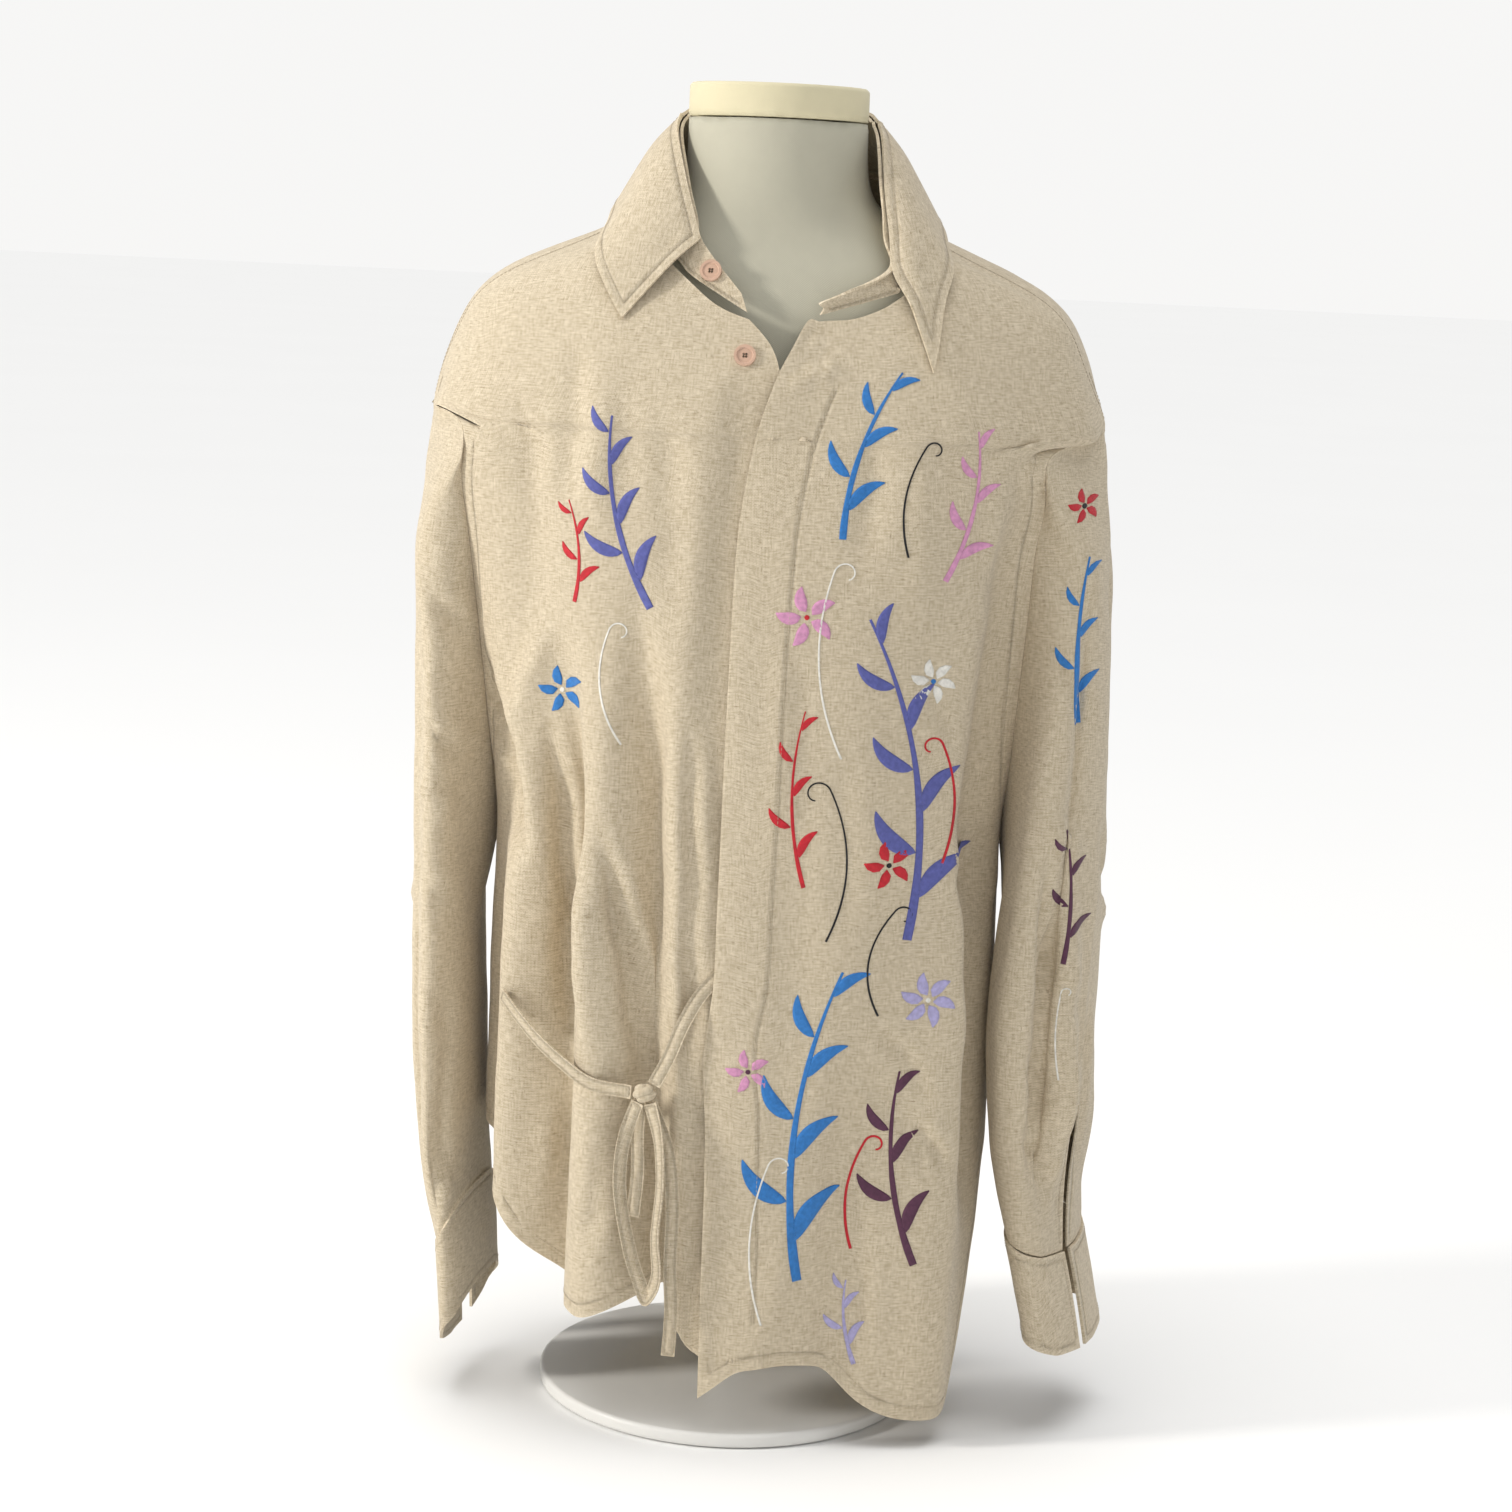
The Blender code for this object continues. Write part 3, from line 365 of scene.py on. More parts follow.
def subdivided(obj):
    """Subdivides a sheet into a smooth one that still passes through its own points."""
    mesh = obj.data
    count = len(mesh.vertices)
    wanted = coordinates(mesh)
    place = wanted.copy()
    modifier = smoothing(obj, 1, boundary_smooth="PRESERVE_CORNERS")
    for _ in range(FIT_ROUNDS):
        set_coordinates(mesh, place)
        bpy.context.view_layer.update()
        graph = bpy.context.evaluated_depsgraph_get()
        place = place + (wanted - coordinates(obj.evaluated_get(graph).data)[:count])
    set_coordinates(mesh, place)
    modifier.levels = SMOOTH_LEVELS
    modifier.render_levels = SMOOTH_LEVELS
    apply_modifier(obj, "smooth")


def thickened(obj, wall):
    modifier = obj.modifiers.new("wall", "SOLIDIFY")
    modifier.thickness = wall
    modifier.offset = -1.0
    modifier.use_even_offset = False
    apply_modifier(obj, "wall")


def open_edges(mesh):
    """The sheet's open edges, as ordered loops of vertex indices."""
    shape = bmesh.new()
    shape.from_mesh(mesh)
    links = {}
    for edge in shape.edges:
        if edge.is_boundary:
            a, b = (v.index for v in edge.verts)
            links.setdefault(a, []).append(b)
            links.setdefault(b, []).append(a)
    shape.free()
    loops = []
    unused = set(links)
    while unused:
        start = min(unused)
        loop = [start]
        unused.discard(start)
        here = start
        while True:
            onward = [n for n in links[here] if n in unused]
            if not onward:
                break
            here = onward[0]
            unused.discard(here)
            loop.append(here)
        loops.append(loop)
    return loops


SHEETS = {}


def remember_sheet(obj, node):
    """Keeps the outer side's points, normals, open edges and tree for what is laid on it."""
    mesh = obj.data
    place = coordinates(mesh)
    faces = [tuple(f.vertices) for f in mesh.polygons]
    SHEETS[node] = {
        "points": place,
        "normals": vertex_normals(mesh),
        "edges": open_edges(mesh),
        "tree": BVHTree.FromPolygons([tuple(p) for p in place], faces),
    }


# Creases, in millimetres: a way between two places as seen from one side, with its bow, height and width
VIEWS = {
    "front": (np.array([1.0, 0.0, 0.0]), np.array([0.0, -1.0, 0.0])),
    "back": (np.array([1.0, 0.0, 0.0]), np.array([0.0, 1.0, 0.0])),
    "left": (np.array([0.0, 1.0, 0.0]), np.array([1.0, 0.0, 0.0])),
    "right": (np.array([0.0, 1.0, 0.0]), np.array([-1.0, 0.0, 0.0])),
}
BODY_CREASES = (
    ("front", -186, 525, -145, 370, 6, -9.4, 9),
    ("front", -132, 500, -110, 225, 8, -9.2, 8),
    ("front", -96, 430, -50, 200, 8, -8.4, 8),
    ("front", -34, 500, -27, 210, 3, -5, 7),
    ("front", 112, 236, 152, 184, 4, -3.4, 6),
    ("front", -155, 700, -150, 520, 10, -3, 12),
    ("front", -120, 735, -128, 600, 6, -2.6, 10),
    ("front", -92, 728, -94, 560, -6, 2.2, 12),
    ("front", -60, 700, -52, 540, 4, -1.8, 12),
    ("front", -150, 440, -118, 560, 10, 4, 9),
    ("front", -158, 410, -138, 500, 6, -3.4, 7),
    ("front", -110, 300, -92, 380, 4, 2, 8),
    ("front", -80, 215, -96, 110, 4, -2.2, 10),
    ("front", -120, 235, -130, 120, 3, 2, 9),
    ("front", -30, 215, -22, 100, 3, 1.6, 8),
    ("front", -140, 262, -70, 222, 5, -2.4, 8),
    ("front", 10, 720, 52, 752, 2, -1.6, 6),
    ("front", 16, 700, 60, 716, 4, 1.6, 7),
    ("front", 75, 700, 62, 560, 6, -1.8, 12),
    ("front", 100, 690, 108, 540, 6, 2, 12),
    ("front", 140, 700, 130, 560, 10, -2.4, 10),
    ("front", 86, 300, 136, 232, 6, -2, 6),
    ("front", 70, 262, 124, 196, 4, 1.6, 6),
    ("front", 96, 240, 142, 178, 4, -1.8, 5),
    ("front", 60, 200, 98, 140, 4, -1.4, 6),
    ("front", 40, 180, 34, 70, 3, 1.5, 9),
    ("front", 90, 150, 86, 50, 4, -1.8, 9),
    ("front", 20, 560, 26, 400, 3, 1.2, 10),
    ("front", 62, 480, 70, 330, 4, -1.4, 12),
    ("front", 140, 470, 112, 560, 6, -2, 8),
    ("front", 150, 440, 120, 500, 4, 1.8, 7),
    ("back", -150, 440, -110, 570, 10, 2.8, 10),
    ("back", -155, 400, -120, 490, 6, -3, 8),
    ("back", 150, 440, 108, 580, 10, 2.6, 10),
    ("back", 158, 405, 126, 500, 6, -3, 8),
    ("back", -40, 690, -50, 440, 6, -4.4, 12),
    ("back", 30, 680, 44, 400, 6, -4, 12),
    ("back", 90, 660, 84, 380, 8, 3.6, 11),
    ("back", -96, 660, -90, 340, 6, 3.8, 11),
    ("back", -60, 360, -104, 160, 6, -5.2, 9),
    ("back", 50, 330, 100, 140, 6, 3.8, 9),
    ("back", 0, 300, 8, 70, 4, -4.6, 10),
)
RIGHT_SLEEVE_CREASES = (
    ("front", -201, 176, -197, 112, 2, -2.8, 5),
    ("front", -222, 560, -186, 520, 4, -2.6, 8),
    ("front", -220, 470, -190, 436, 6, -3.4, 7),
    ("front", -224, 430, -192, 402, 5, 2.6, 7),
    ("front", -220, 380, -196, 330, 4, -2.2, 8),
    ("front", -212, 300, -198, 200, 3, 2, 7),
    ("front", -206, 190, -186, 140, 3, -2.2, 6),
    ("front", -194, 170, -190, 122, 2, 2, 5),
    ("right", -20, 640, -40, 440, 10, -3.4, 13),
    ("right", 20, 620, 28, 420, 10, 3, 13),
    ("right", -30, 400, 20, 330, 6, -3, 9),
    ("right", -44, 360, 6, 290, 6, 2.6, 9),
    ("right", -10, 300, -20, 150, 6, -3, 10),
    ("right", 20, 260, 12, 120, 4, 2.4, 8),
    ("right", -44, 220, -40, 120, 3, -2.2, 7),
    ("back", -220, 520, -190, 470, 4, -2.8, 8),
    ("back", -222, 430, -192, 390, 4, 2.4, 8),
    ("back", -212, 280, -196, 150, 3, -2.2, 8),
)
LEFT_SLEEVE_CREASES = (
    ("front", 201, 430, 207, 135, 3, -7.2, 7),
    ("front", 219, 400, 223, 160, 3, 3.6, 6),
    ("front", 186, 229, 232, 140, 4, -2.2, 5),
    ("front", 194, 540, 226, 470, 4, -2.6, 8),
    ("front", 192, 440, 222, 380, 6, 2.6, 8),
    ("front", 200, 330, 228, 280, 5, -2.8, 7),
    ("front", 196, 280, 214, 190, 3, -3, 6),
    ("front", 218, 290, 226, 180, 3, 2.6, 6),
    ("front", 208, 210, 214, 142, 2, -2.8, 5),
    ("front", 222, 190, 226, 140, 2, -2, 4),
    ("left", -30, 620, -10, 440, 10, -3.4, 13),
    ("left", 26, 600, 16, 400, 10, 3, 13),
    ("left", -40, 420, 10, 350, 6, -3.2, 9),
    ("left", -20, 370, 34, 310, 6, 2.6, 9),
    ("left", -36, 300, -28, 160, 6, -3, 9),
    ("left", 4, 280, -4, 140, 4, 2.6, 8),
    ("left", 30, 240, 24, 140, 4, -2.4, 7),
    ("back", 196, 500, 230, 440, 4, -2.6, 8),
    ("back", 200, 400, 228, 350, 4, 2.4, 8),
    ("back", 206, 290, 216, 160, 3, -2.4, 8),
)
COLLAR_CREASES = (
    ("front", -58, 800, -78, 762, 3, -1, 8),
    ("front", 86, 800, 98, 744, 3, 1, 9),
    ("back", -30, 870, -34, 830, 3, -1, 10),
    ("back", 34, 872, 42, 828, 3, 1, 10),
)
CREASES = {
    "front_left": BODY_CREASES,
    "front_right": BODY_CREASES,
    "back": BODY_CREASES,
    "yoke": BODY_CREASES,
    "sleeve_right": RIGHT_SLEEVE_CREASES,
    "sleeve_left": LEFT_SLEEVE_CREASES,
    "collar_leaf": COLLAR_CREASES,
}
CREASE_SHARE = 1.3
MILLIMETRE = 0.001
# Where a crease has risen to its full height and starts to fall, as shares of its length
CREASE_RISE = 0.34
CREASE_FALL = 0.40
# How far it strays from its way and how its height and width change along it
STRAY, STRAY_TURNS, STRAY_SHIFT = 0.12, 23.0, 1.7
UNEVEN, UNEVEN_TURNS, UNEVEN_SHIFT = 0.22, 9.0, 2.3
FIRST_WIDTH, WIDTH_GROWTH = 0.75, 0.35
# The cloth beside a crease goes the other way
BESIDE_PLACE, BESIDE_WIDTH, BESIDE_SHARE = 1.5, 1.1, 0.45
# The cloth that faces away from the view that a crease is drawn in has none of it
FACING_LEAST, FACING_RISE = 0.05, 0.5
# Sewn edges keep their place, and a hem is free
EDGE_FADE = 0.012
HEMMED = ("front_left", "front_right", "back")
OPEN_HEM = 0.22


def edge_distance(points, edges, lowest=-1.0):
    """Distance of every point to the open edges above a height."""
    close = np.concatenate([close_points(points[loop]) for loop in edges])
    tree = near_tree(close[close[:, 2] > lowest])
    return np.array([tree.find(p)[2] for p in points])


def crease_heights(points, normals, creases):
    """How far each point is moved out by the creases."""
    total = np.zeros(len(points))
    for number, (view, *sizes) in enumerate(creases):
        x, z, to_x, to_z, bow, depth, width = (size * MILLIMETRE for size in sizes)
        across_axis, facing = VIEWS[view]
        flat = np.stack([points @ across_axis, points[:, 2]], -1)
        start = np.array([x, z])
        way = np.array([to_x, to_z]) - start
        length = np.linalg.norm(way)
        way = way / length
        aside = np.array([-way[1], way[0]])
        along = (flat - start) @ way / length
        stray = STRAY * width * np.sin(STRAY_TURNS * along + STRAY_SHIFT * number)
        away = (flat - start) @ aside - bow * 4 * along * (1 - along) - stray
        taper = smooth(along / CREASE_RISE) * smooth((1.0 - along) / CREASE_FALL)
        uneven = 1.0 + UNEVEN * np.sin(UNEVEN_TURNS * along + UNEVEN_SHIFT * number)
        wide = width * (FIRST_WIDTH + WIDTH_GROWTH * along)
        near = np.exp(-((away / wide) ** 2))
        beside = np.exp(-(((away - BESIDE_PLACE * wide) / (BESIDE_WIDTH * wide)) ** 2))
        seen = smooth((normals @ facing - FACING_LEAST) / FACING_RISE)
        total += CREASE_SHARE * depth * taper * uneven * seen * (near - BESIDE_SHARE * beside)
    return total


# Slight waves of the cloth: two ways through x, y and z with a start for each, and a share of the size
WAVES = (
    ((61.0, 0.0, 17.0), 0.7, (0.0, 31.0, 23.0), 0.0, 1.0),
    ((0.0, 97.0, 29.0), 2.1, (-37.0, 0.0, 41.0), 0.4, 0.7),
    ((143.0, 0.0, -71.0), 0.0, (0.0, 113.0, 83.0), 1.3, 0.4),
)


def slight_waves(points, size):
    total = 0.0
    for first, first_start, second, second_start, share in WAVES:
        total = total + share * np.sin(points @ np.array(first) + first_start) * np.sin(
            points @ np.array(second) + second_start
        )
    return size * total


WAVE_SIZE = {
    "front_left": 0.0005,
    "front_right": 0.0005,
    "back": 0.0005,
    "yoke": 0.0003,
    "sleeve_right": 0.0005,
    "sleeve_left": 0.0005,
    "cuff_right": 0.0003,
    "cuff_left": 0.0003,
}
LEAST_WAVE = 0.0002
CLEAR_OF_FORM = 0.0005
FORM_REACH = 0.02


def creased(obj, node, wall):
    """Creases a sheet inside its sewn edges, and keeps it clear of the dress form."""
    mesh = obj.data
    points, normals = coordinates(mesh), vertex_normals(mesh)
    lowest = OPEN_HEM if node in HEMMED else -1.0
    fade = smooth(edge_distance(points, open_edges(mesh), lowest) / EDGE_FADE)
    height = crease_heights(points, normals, CREASES.get(node, ()))
    height = height + slight_waves(points, WAVE_SIZE.get(node, LEAST_WAVE))
    moved = points + normals * (height * fade)[:, None]
    form = form_tree()
    for i, place in enumerate(moved):
        near, normal = form.find_nearest(Vector(place), FORM_REACH)[:2]
        if near is None:
            continue
        away = (Vector(place) - near).dot(normal) - wall
        if away < CLEAR_OF_FORM:
            moved[i] = np.array(Vector(place) + normal * (CLEAR_OF_FORM - away))
    set_coordinates(mesh, moved)


SEWN_TO = {
    "yoke": ("front_right", "front_left", "back"),
    "sleeve_right": ("front_right", "back", "yoke"),
    "sleeve_left": ("front_left", "back", "yoke"),
}
# How near a sewn edge is drawn to its panel, from how far, and how far into the piece
SEWN_GAP = 0.00015
SEWN_REACH = 0.012
SEWN_FADE = 0.022


def sewn_shut(obj, node):
    """Draws a sleeve's or the yoke's edge to the edges of the panels that it is sewn to."""
    sheets = [SHEETS[other] for other in SEWN_TO[node]]
    panels = near_tree(
        np.concatenate([close_points(sheet["points"][loop]) for sheet in sheets for loop in sheet["edges"]])
    )
    points = coordinates(obj.data)
    shifts, border = [], []
    for vertex in (v for loop in open_edges(obj.data) for v in loop):
        near, _, distance = panels.find(points[vertex])
        if distance < SEWN_REACH:
            shifts.append((np.array(near) - points[vertex]) * (1.0 - SEWN_GAP / max(distance, SEWN_GAP)))
            border.append(points[vertex])
    tree = near_tree(border)
    for i, place in enumerate(points.copy()):
        _, nearest, distance = tree.find(place)
        points[i] = place + shifts[nearest] * (1.0 - smooth(distance / SEWN_FADE))
    set_coordinates(obj.data, points)


def add_distances(obj, line_distance, edge_distances):
    """Stores each point's distance to the nearest sewn line and open edge, for the material."""
    for name, values in (("sewn", line_distance), ("edge", edge_distances)):
        layer = obj.data.attributes.new(name, "FLOAT", "POINT")
        layer.data.foreach_set("value", np.asarray(values, np.float32))


# Materials


def node_group(name, inputs, outputs):
    group = bpy.data.node_groups.new(name, "ShaderNodeTree")
    for kind, label, value in inputs:
        socket = group.interface.new_socket(name=label, in_out="INPUT", socket_type=kind)
        if value is not None:
            socket.default_value = value
    for kind, label in outputs:
        group.interface.new_socket(name=label, in_out="OUTPUT", socket_type=kind)
    source = group.nodes.new("NodeGroupInput")
    result = group.nodes.new("NodeGroupOutput")
    return group, source.outputs, result.inputs


class Wiring:
    """Adds nodes to one tree and links them."""

    def __init__(self, tree):
        self.tree = tree

    def node(self, kind, values=(), **settings):
        """A new node with its settings and the values or links of its inputs, from the first on."""
        made = self.tree.nodes.new(kind)
        for setting, value in settings.items():
            setattr(made, setting, value)
        for socket, value in zip(made.inputs, values):
            self.put(socket, value)
        return made

    def put(self, socket, value):
        if isinstance(value, bpy.types.NodeSocket):
            self.tree.links.new(value, socket)
        elif value is not None:
            socket.default_value = value

    def math(self, operation, *values):
        return self.node("ShaderNodeMath", values, operation=operation).outputs[0]

    def times(self, a, b):
        return self.math("MULTIPLY", a, b)

    def plus(self, a, b):
        return self.math("ADD", a, b)

    def eased(self, value, size, lift):
        """A value scaled and then lifted."""
        return self.math("MULTIPLY_ADD", value, size, lift)

    def ripples(self, value, pitch):
        return self.math("SINE", self.times(value, math.tau / pitch))

    def split(self, vector):
        return self.node("ShaderNodeSeparateXYZ", (vector,)).outputs

    def joined(self, x, y, z=0.0):
        return self.node("ShaderNodeCombineXYZ", (x, y, z)).outputs[0]

    def noise(self, vector, scale, detail=2.0):
        made = self.node("ShaderNodeTexNoise")
        for label, value in (("Vector", vector), ("Scale", scale), ("Detail", detail)):
            self.put(made.inputs[label], value)
        return made.outputs[0]

    def between(self, value, low, high, to_low=0.0, to_high=1.0):
        values = (value, low, high, to_low, to_high)
        return self.node("ShaderNodeMapRange", values, interpolation_type="SMOOTHSTEP").outputs[0]

    def mix(self, share, a, b, blend="MIX"):
        made = self.node("ShaderNodeMix", (share,), data_type="RGBA", blend_type=blend)
        self.put(made.inputs[6], a)
        self.put(made.inputs[7], b)
        return made.outputs[2]

    def dimmed(self, colour, dim):
        return self.mix(1.0, colour, self.joined(dim, dim, dim), "MULTIPLY")

    def group(self, group, **values):
        made = self.node("ShaderNodeGroup", node_tree=group)
        for label, value in values.items():
            self.put(made.inputs[label], value)
        return made.outputs

    def bump(self, height, strength, distance, normal=None):
        made = self.node("ShaderNodeBump")
        values = {"Strength": strength, "Distance": distance, "Height": height, "Normal": normal}
        for label, value in values.items():
            self.put(made.inputs[label], value)
        return made.outputs[0]

    def attribute(self, name):
        return self.node("ShaderNodeAttribute", attribute_name=name).outputs["Fac"]

    def object_place(self):
        return self.node("ShaderNodeTexCoord").outputs["Object"]

    def cut_map(self):
        return self.node("ShaderNodeUVMap", uv_map="Cut").outputs[0]


# Noises of the weave: how many to the metre across and along, where each starts, and its detail
WEAVE_NOISES = {
    "weft": (150.0, 1000.0, 0.0, 2.0),
    "warp": (1000.0, 130.0, 7.0, 2.0),
    "broad": (130.0, 330.0, 3.0, 3.0),
    "weft flecks": (260.0, 1000.0, 11.0, 1.0),
    "warp flecks": (1000.0, 240.0, 13.0, 1.0),
}
SWAY_SCALE = 140.0
STREAK_SHARES = (("weft", 0.50), ("warp", 0.40), ("broad", 0.10))
WEFT_FLECKS = (0.60, 0.74)
WARP_FLECKS = (0.64, 0.76)
CROSSING_HEIGHT = 0.55
LUMP_HEIGHT = 0.45


def weave_group():
    """Plain weave on a cut's map: crossings, streaks, flecks and height."""
    name = "Linen weave"
    if name in bpy.data.node_groups:
        return bpy.data.node_groups[name]
    group, given, result = node_group(
        name,
        (("NodeSocketVector", "Cut", None), ("NodeSocketFloat", "Pitch", 0.00085)),
        [("NodeSocketFloat", label) for label in ("Crossing", "Streaks", "Flecks", "Height")],
    )
    wire = Wiring(group)
    u, v, _ = wire.split(given["Cut"])
    sway = wire.noise(given["Cut"], SWAY_SCALE)
    shift = wire.times(wire.math("SUBTRACT", sway, 0.5), given["Pitch"])
    threads = [
        wire.math("SINE", wire.math("DIVIDE", wire.times(wire.plus(way, shift), math.pi), given["Pitch"]))
        for way in (u, v)
    ]
    crossing = wire.times(*threads)
    noises = {
        label: wire.noise(wire.joined(wire.times(u, across), wire.times(v, along), start), 1.0, detail)
        for label, (across, along, start, detail) in WEAVE_NOISES.items()
    }
    streaks = 0.0
    for label, share in STREAK_SHARES:
        streaks = wire.eased(noises[label], share, streaks)
    flecks = wire.math(
        "MAXIMUM",
        wire.between(noises["weft flecks"], *WEFT_FLECKS),
        wire.between(noises["warp flecks"], *WARP_FLECKS),
    )
    lumps = wire.times(wire.plus(noises["weft"], noises["warp"]), LUMP_HEIGHT)
    wire.put(result["Crossing"], wire.eased(crossing, 0.5, 0.5))
    wire.put(result["Streaks"], streaks)
    wire.put(result["Flecks"], flecks)
    wire.put(result["Height"], wire.eased(wire.math("ABSOLUTE", crossing), CROSSING_HEIGHT, lumps))
    return group


MOTTLE_SCALE = 14.0


def tone_group():
    """Broad, soft changes of tone over a piece, and a finer mottle."""
    name = "Soft tone"
    if name in bpy.data.node_groups:
        return bpy.data.node_groups[name]
    group, given, result = node_group(
        name,
        (("NodeSocketVector", "Place", None), ("NodeSocketFloat", "Size", 9.0)),
        [("NodeSocketFloat", label) for label in ("Tone", "Mottle")],
    )
    wire = Wiring(group)
    wire.put(result["Tone"], wire.noise(given["Place"], given["Size"], 3.0))
    wire.put(result["Mottle"], wire.noise(given["Place"], wire.times(given["Size"], MOTTLE_SCALE), 3.0))
    return group


def new_material(name, roughness, **sockets):
    made = bpy.data.materials.new(name)
    made.use_nodes = True
    shader = made.node_tree.nodes["Principled BSDF"]
    shader.inputs["Roughness"].default_value = roughness
    for label, value in sockets.items():
        shader.inputs[label.replace("_", " ")].default_value = value
    return made, Wiring(made.node_tree), shader.inputs


def soft_tone(wire, size):
    return wire.group(tone_group(), Place=wire.object_place(), Size=size)


def surface(wire, shader, colour, roughness, normal):
    wire.put(shader["Base Color"], colour)
    wire.put(shader["Roughness"], roughness)
    wire.put(shader["Normal"], normal)


def rgba(colour, share=1.0):
    return tuple(c * share for c in colour) + (1.0,)


# How far a sewn line's painted shade darkens the cloth beside it and how far the line sinks into it, and how
# far an open edge is worn pale
SEAM_PAINTED_SHADE = (0.0002, 0.0016, 0.74, 1.0)
SEAM_SINK = (0.0, 0.0030)
EDGE_WEAR = (0.0, 0.0022, 1.10, 1.0)
STREAK_RANGE = (0.30, 0.70)
FLECK_SHARE = 0.50


def linen_material():
    """Woven linen, with painted shade along its sewn lines and paler at its worn edges."""
    name = "linen_cloth"
    if name in bpy.data.materials:
        return bpy.data.materials[name]
    sizes = bpy.context.scene.shirt_sizes
    colours = bpy.context.scene.shirt_colours
    made, wire, shader = new_material(
        name, 0.86, Sheen_Weight=0.18, Sheen_Roughness=0.45, Specular_IOR_Level=0.22
    )
    weave = wire.group(weave_group(), Cut=wire.cut_map(), Pitch=sizes.thread_pitch)
    share = wire.between(weave["Streaks"], *STREAK_RANGE)
    colour = wire.mix(share, rgba(colours.linen), rgba(colours.linen_light))
    colour = wire.mix(wire.times(weave["Flecks"], FLECK_SHARE), colour, rgba(colours.linen_dark))
    crossing = wire.eased(weave["Crossing"], 0.16, 0.92)
    broad = wire.eased(soft_tone(wire, 8.0)["Tone"], 0.18, 0.91)
    sewn = wire.attribute("sewn")
    worn = wire.between(wire.attribute("edge"), *EDGE_WEAR)
    # The darkening along the sewn lines is painted shade, standing in for the shadow in the seams' slight
    # hollows
    dim = wire.times(wire.times(crossing, broad), wire.times(wire.between(sewn, *SEAM_PAINTED_SHADE), worn))
    fine = wire.bump(weave["Height"], 0.55, 0.00035)
    sunk = wire.bump(wire.between(sewn, *SEAM_SINK), 0.8, 0.0009, fine)
    surface(wire, shader, wire.dimmed(colour, dim), wire.eased(weave["Streaks"], 0.16, 0.78), sunk)
    return made


THREAD_TWIST = 0.0005


def thread_material(name, colour):
    """Twisted thread, on the piece's own place."""
    if name in bpy.data.materials:
        return bpy.data.materials[name]
    made, wire, shader = new_material(name, 0.62, Sheen_Weight=0.15, Specular_IOR_Level=0.35)
    mottle = soft_tone(wire, 60.0)["Mottle"]
    x, _, z = wire.split(wire.object_place())
    colour = wire.dimmed(rgba(colour), wire.eased(mottle, 0.5, 0.72))
    twist = wire.bump(wire.ripples(wire.plus(x, z), THREAD_TWIST), 0.4, 0.0001)
    surface(wire, shader, colour, wire.eased(mottle, 0.25, 0.5), twist)
    return made


MOTIF_SLANT = 0.6
MOTIF_THREAD = 0.0009


def motif_material(name, colour):
    """Close, slanting stitches over the motif's own length, uneven as hand work is, with painted shade in the
    grooves between them.
    """
    if name in bpy.data.materials:
        return bpy.data.materials[name]
    made, wire, shader = new_material(name, 0.60, Sheen_Weight=0.10, Specular_IOR_Level=0.30)
    across, onward, _ = wire.split(wire.cut_map())
    slant = wire.eased(wire.noise(wire.cut_map(), 420.0), 0.0006, wire.eased(across, MOTIF_SLANT, onward))
    ribs = wire.ripples(slant, MOTIF_THREAD)
    tone = soft_tone(wire, 26.0)
    # The colour darkens with the ribs' height: painted shade in the grooves between the stitches
    dim = wire.eased(ribs, 0.10, wire.eased(tone["Mottle"], 0.7, 0.62))
    roughness = wire.eased(tone["Tone"], 0.3, 0.45)
    surface(wire, shader, wire.dimmed(rgba(colour), dim), roughness, wire.bump(ribs, 0.5, 0.00018))
    return made


KNIT_PITCH = 0.0012
KNIT_RADIUS = 0.06


def cover_material(name, colour, dark_share):
    """The close knitted cover of the dress form."""
    if name in bpy.data.materials:
        return bpy.data.materials[name]
    made, wire, shader = new_material(name, 0.80, Sheen_Weight=0.12, Specular_IOR_Level=0.20)
    x, y, z = wire.split(wire.object_place())
    around = wire.times(wire.math("ARCTAN2", x, wire.times(y, -1.0)), KNIT_RADIUS)
    knit = wire.times(wire.ripples(z, KNIT_PITCH), wire.ripples(around, KNIT_PITCH))
    tone = soft_tone(wire, 7.0)
    dim = wire.times(wire.eased(tone["Tone"], 0.14, 0.93), wire.eased(tone["Mottle"], 0.08, 0.96))
    base = wire.mix(wire.between(tone["Tone"], 0.35, 0.75), rgba(colour), rgba(colour, dark_share))
    roughness = wire.eased(tone["Mottle"], 0.2, 0.70)
    surface(wire, shader, wire.dimmed(base, dim), roughness, wire.bump(knit, 0.25, 0.00015))
    return made


def painted_material(name, colour, size, tones, plain, roughness, bump, **sockets):
    """A smooth, coated finish with a slight mottle."""
    if name in bpy.data.materials:
        return bpy.data.materials[name]
    made, wire, shader = new_material(name, plain, **sockets)
    tone = soft_tone(wire, size)
    base = wire.mix(tone["Tone"], *(rgba(colour, share) for share in tones))
    surface(wire, shader, base, wire.eased(tone["Mottle"], *roughness), wire.bump(tone["Mottle"], *bump))
    return made


def button_material():
    colour = bpy.context.scene.shirt_colours.button
    return painted_material(
        "button_shell", colour, 240.0, (0.86, 1.16), 0.34, (0.25, 0.24), (0.15, 0.0001),
        Coat_Weight=0.25, Specular_IOR_Level=0.5,
    )


def foot_material():
    colour = bpy.context.scene.shirt_colours.foot
    return painted_material(
        "stand_paint", colour, 16.0, (0.96, 1.03), 0.42, (0.22, 0.32), (0.12, 0.0002), Coat_Weight=0.15
    )


def dress(obj, material):
    obj.data.materials.clear()
    obj.data.materials.append(material)


# Sewing

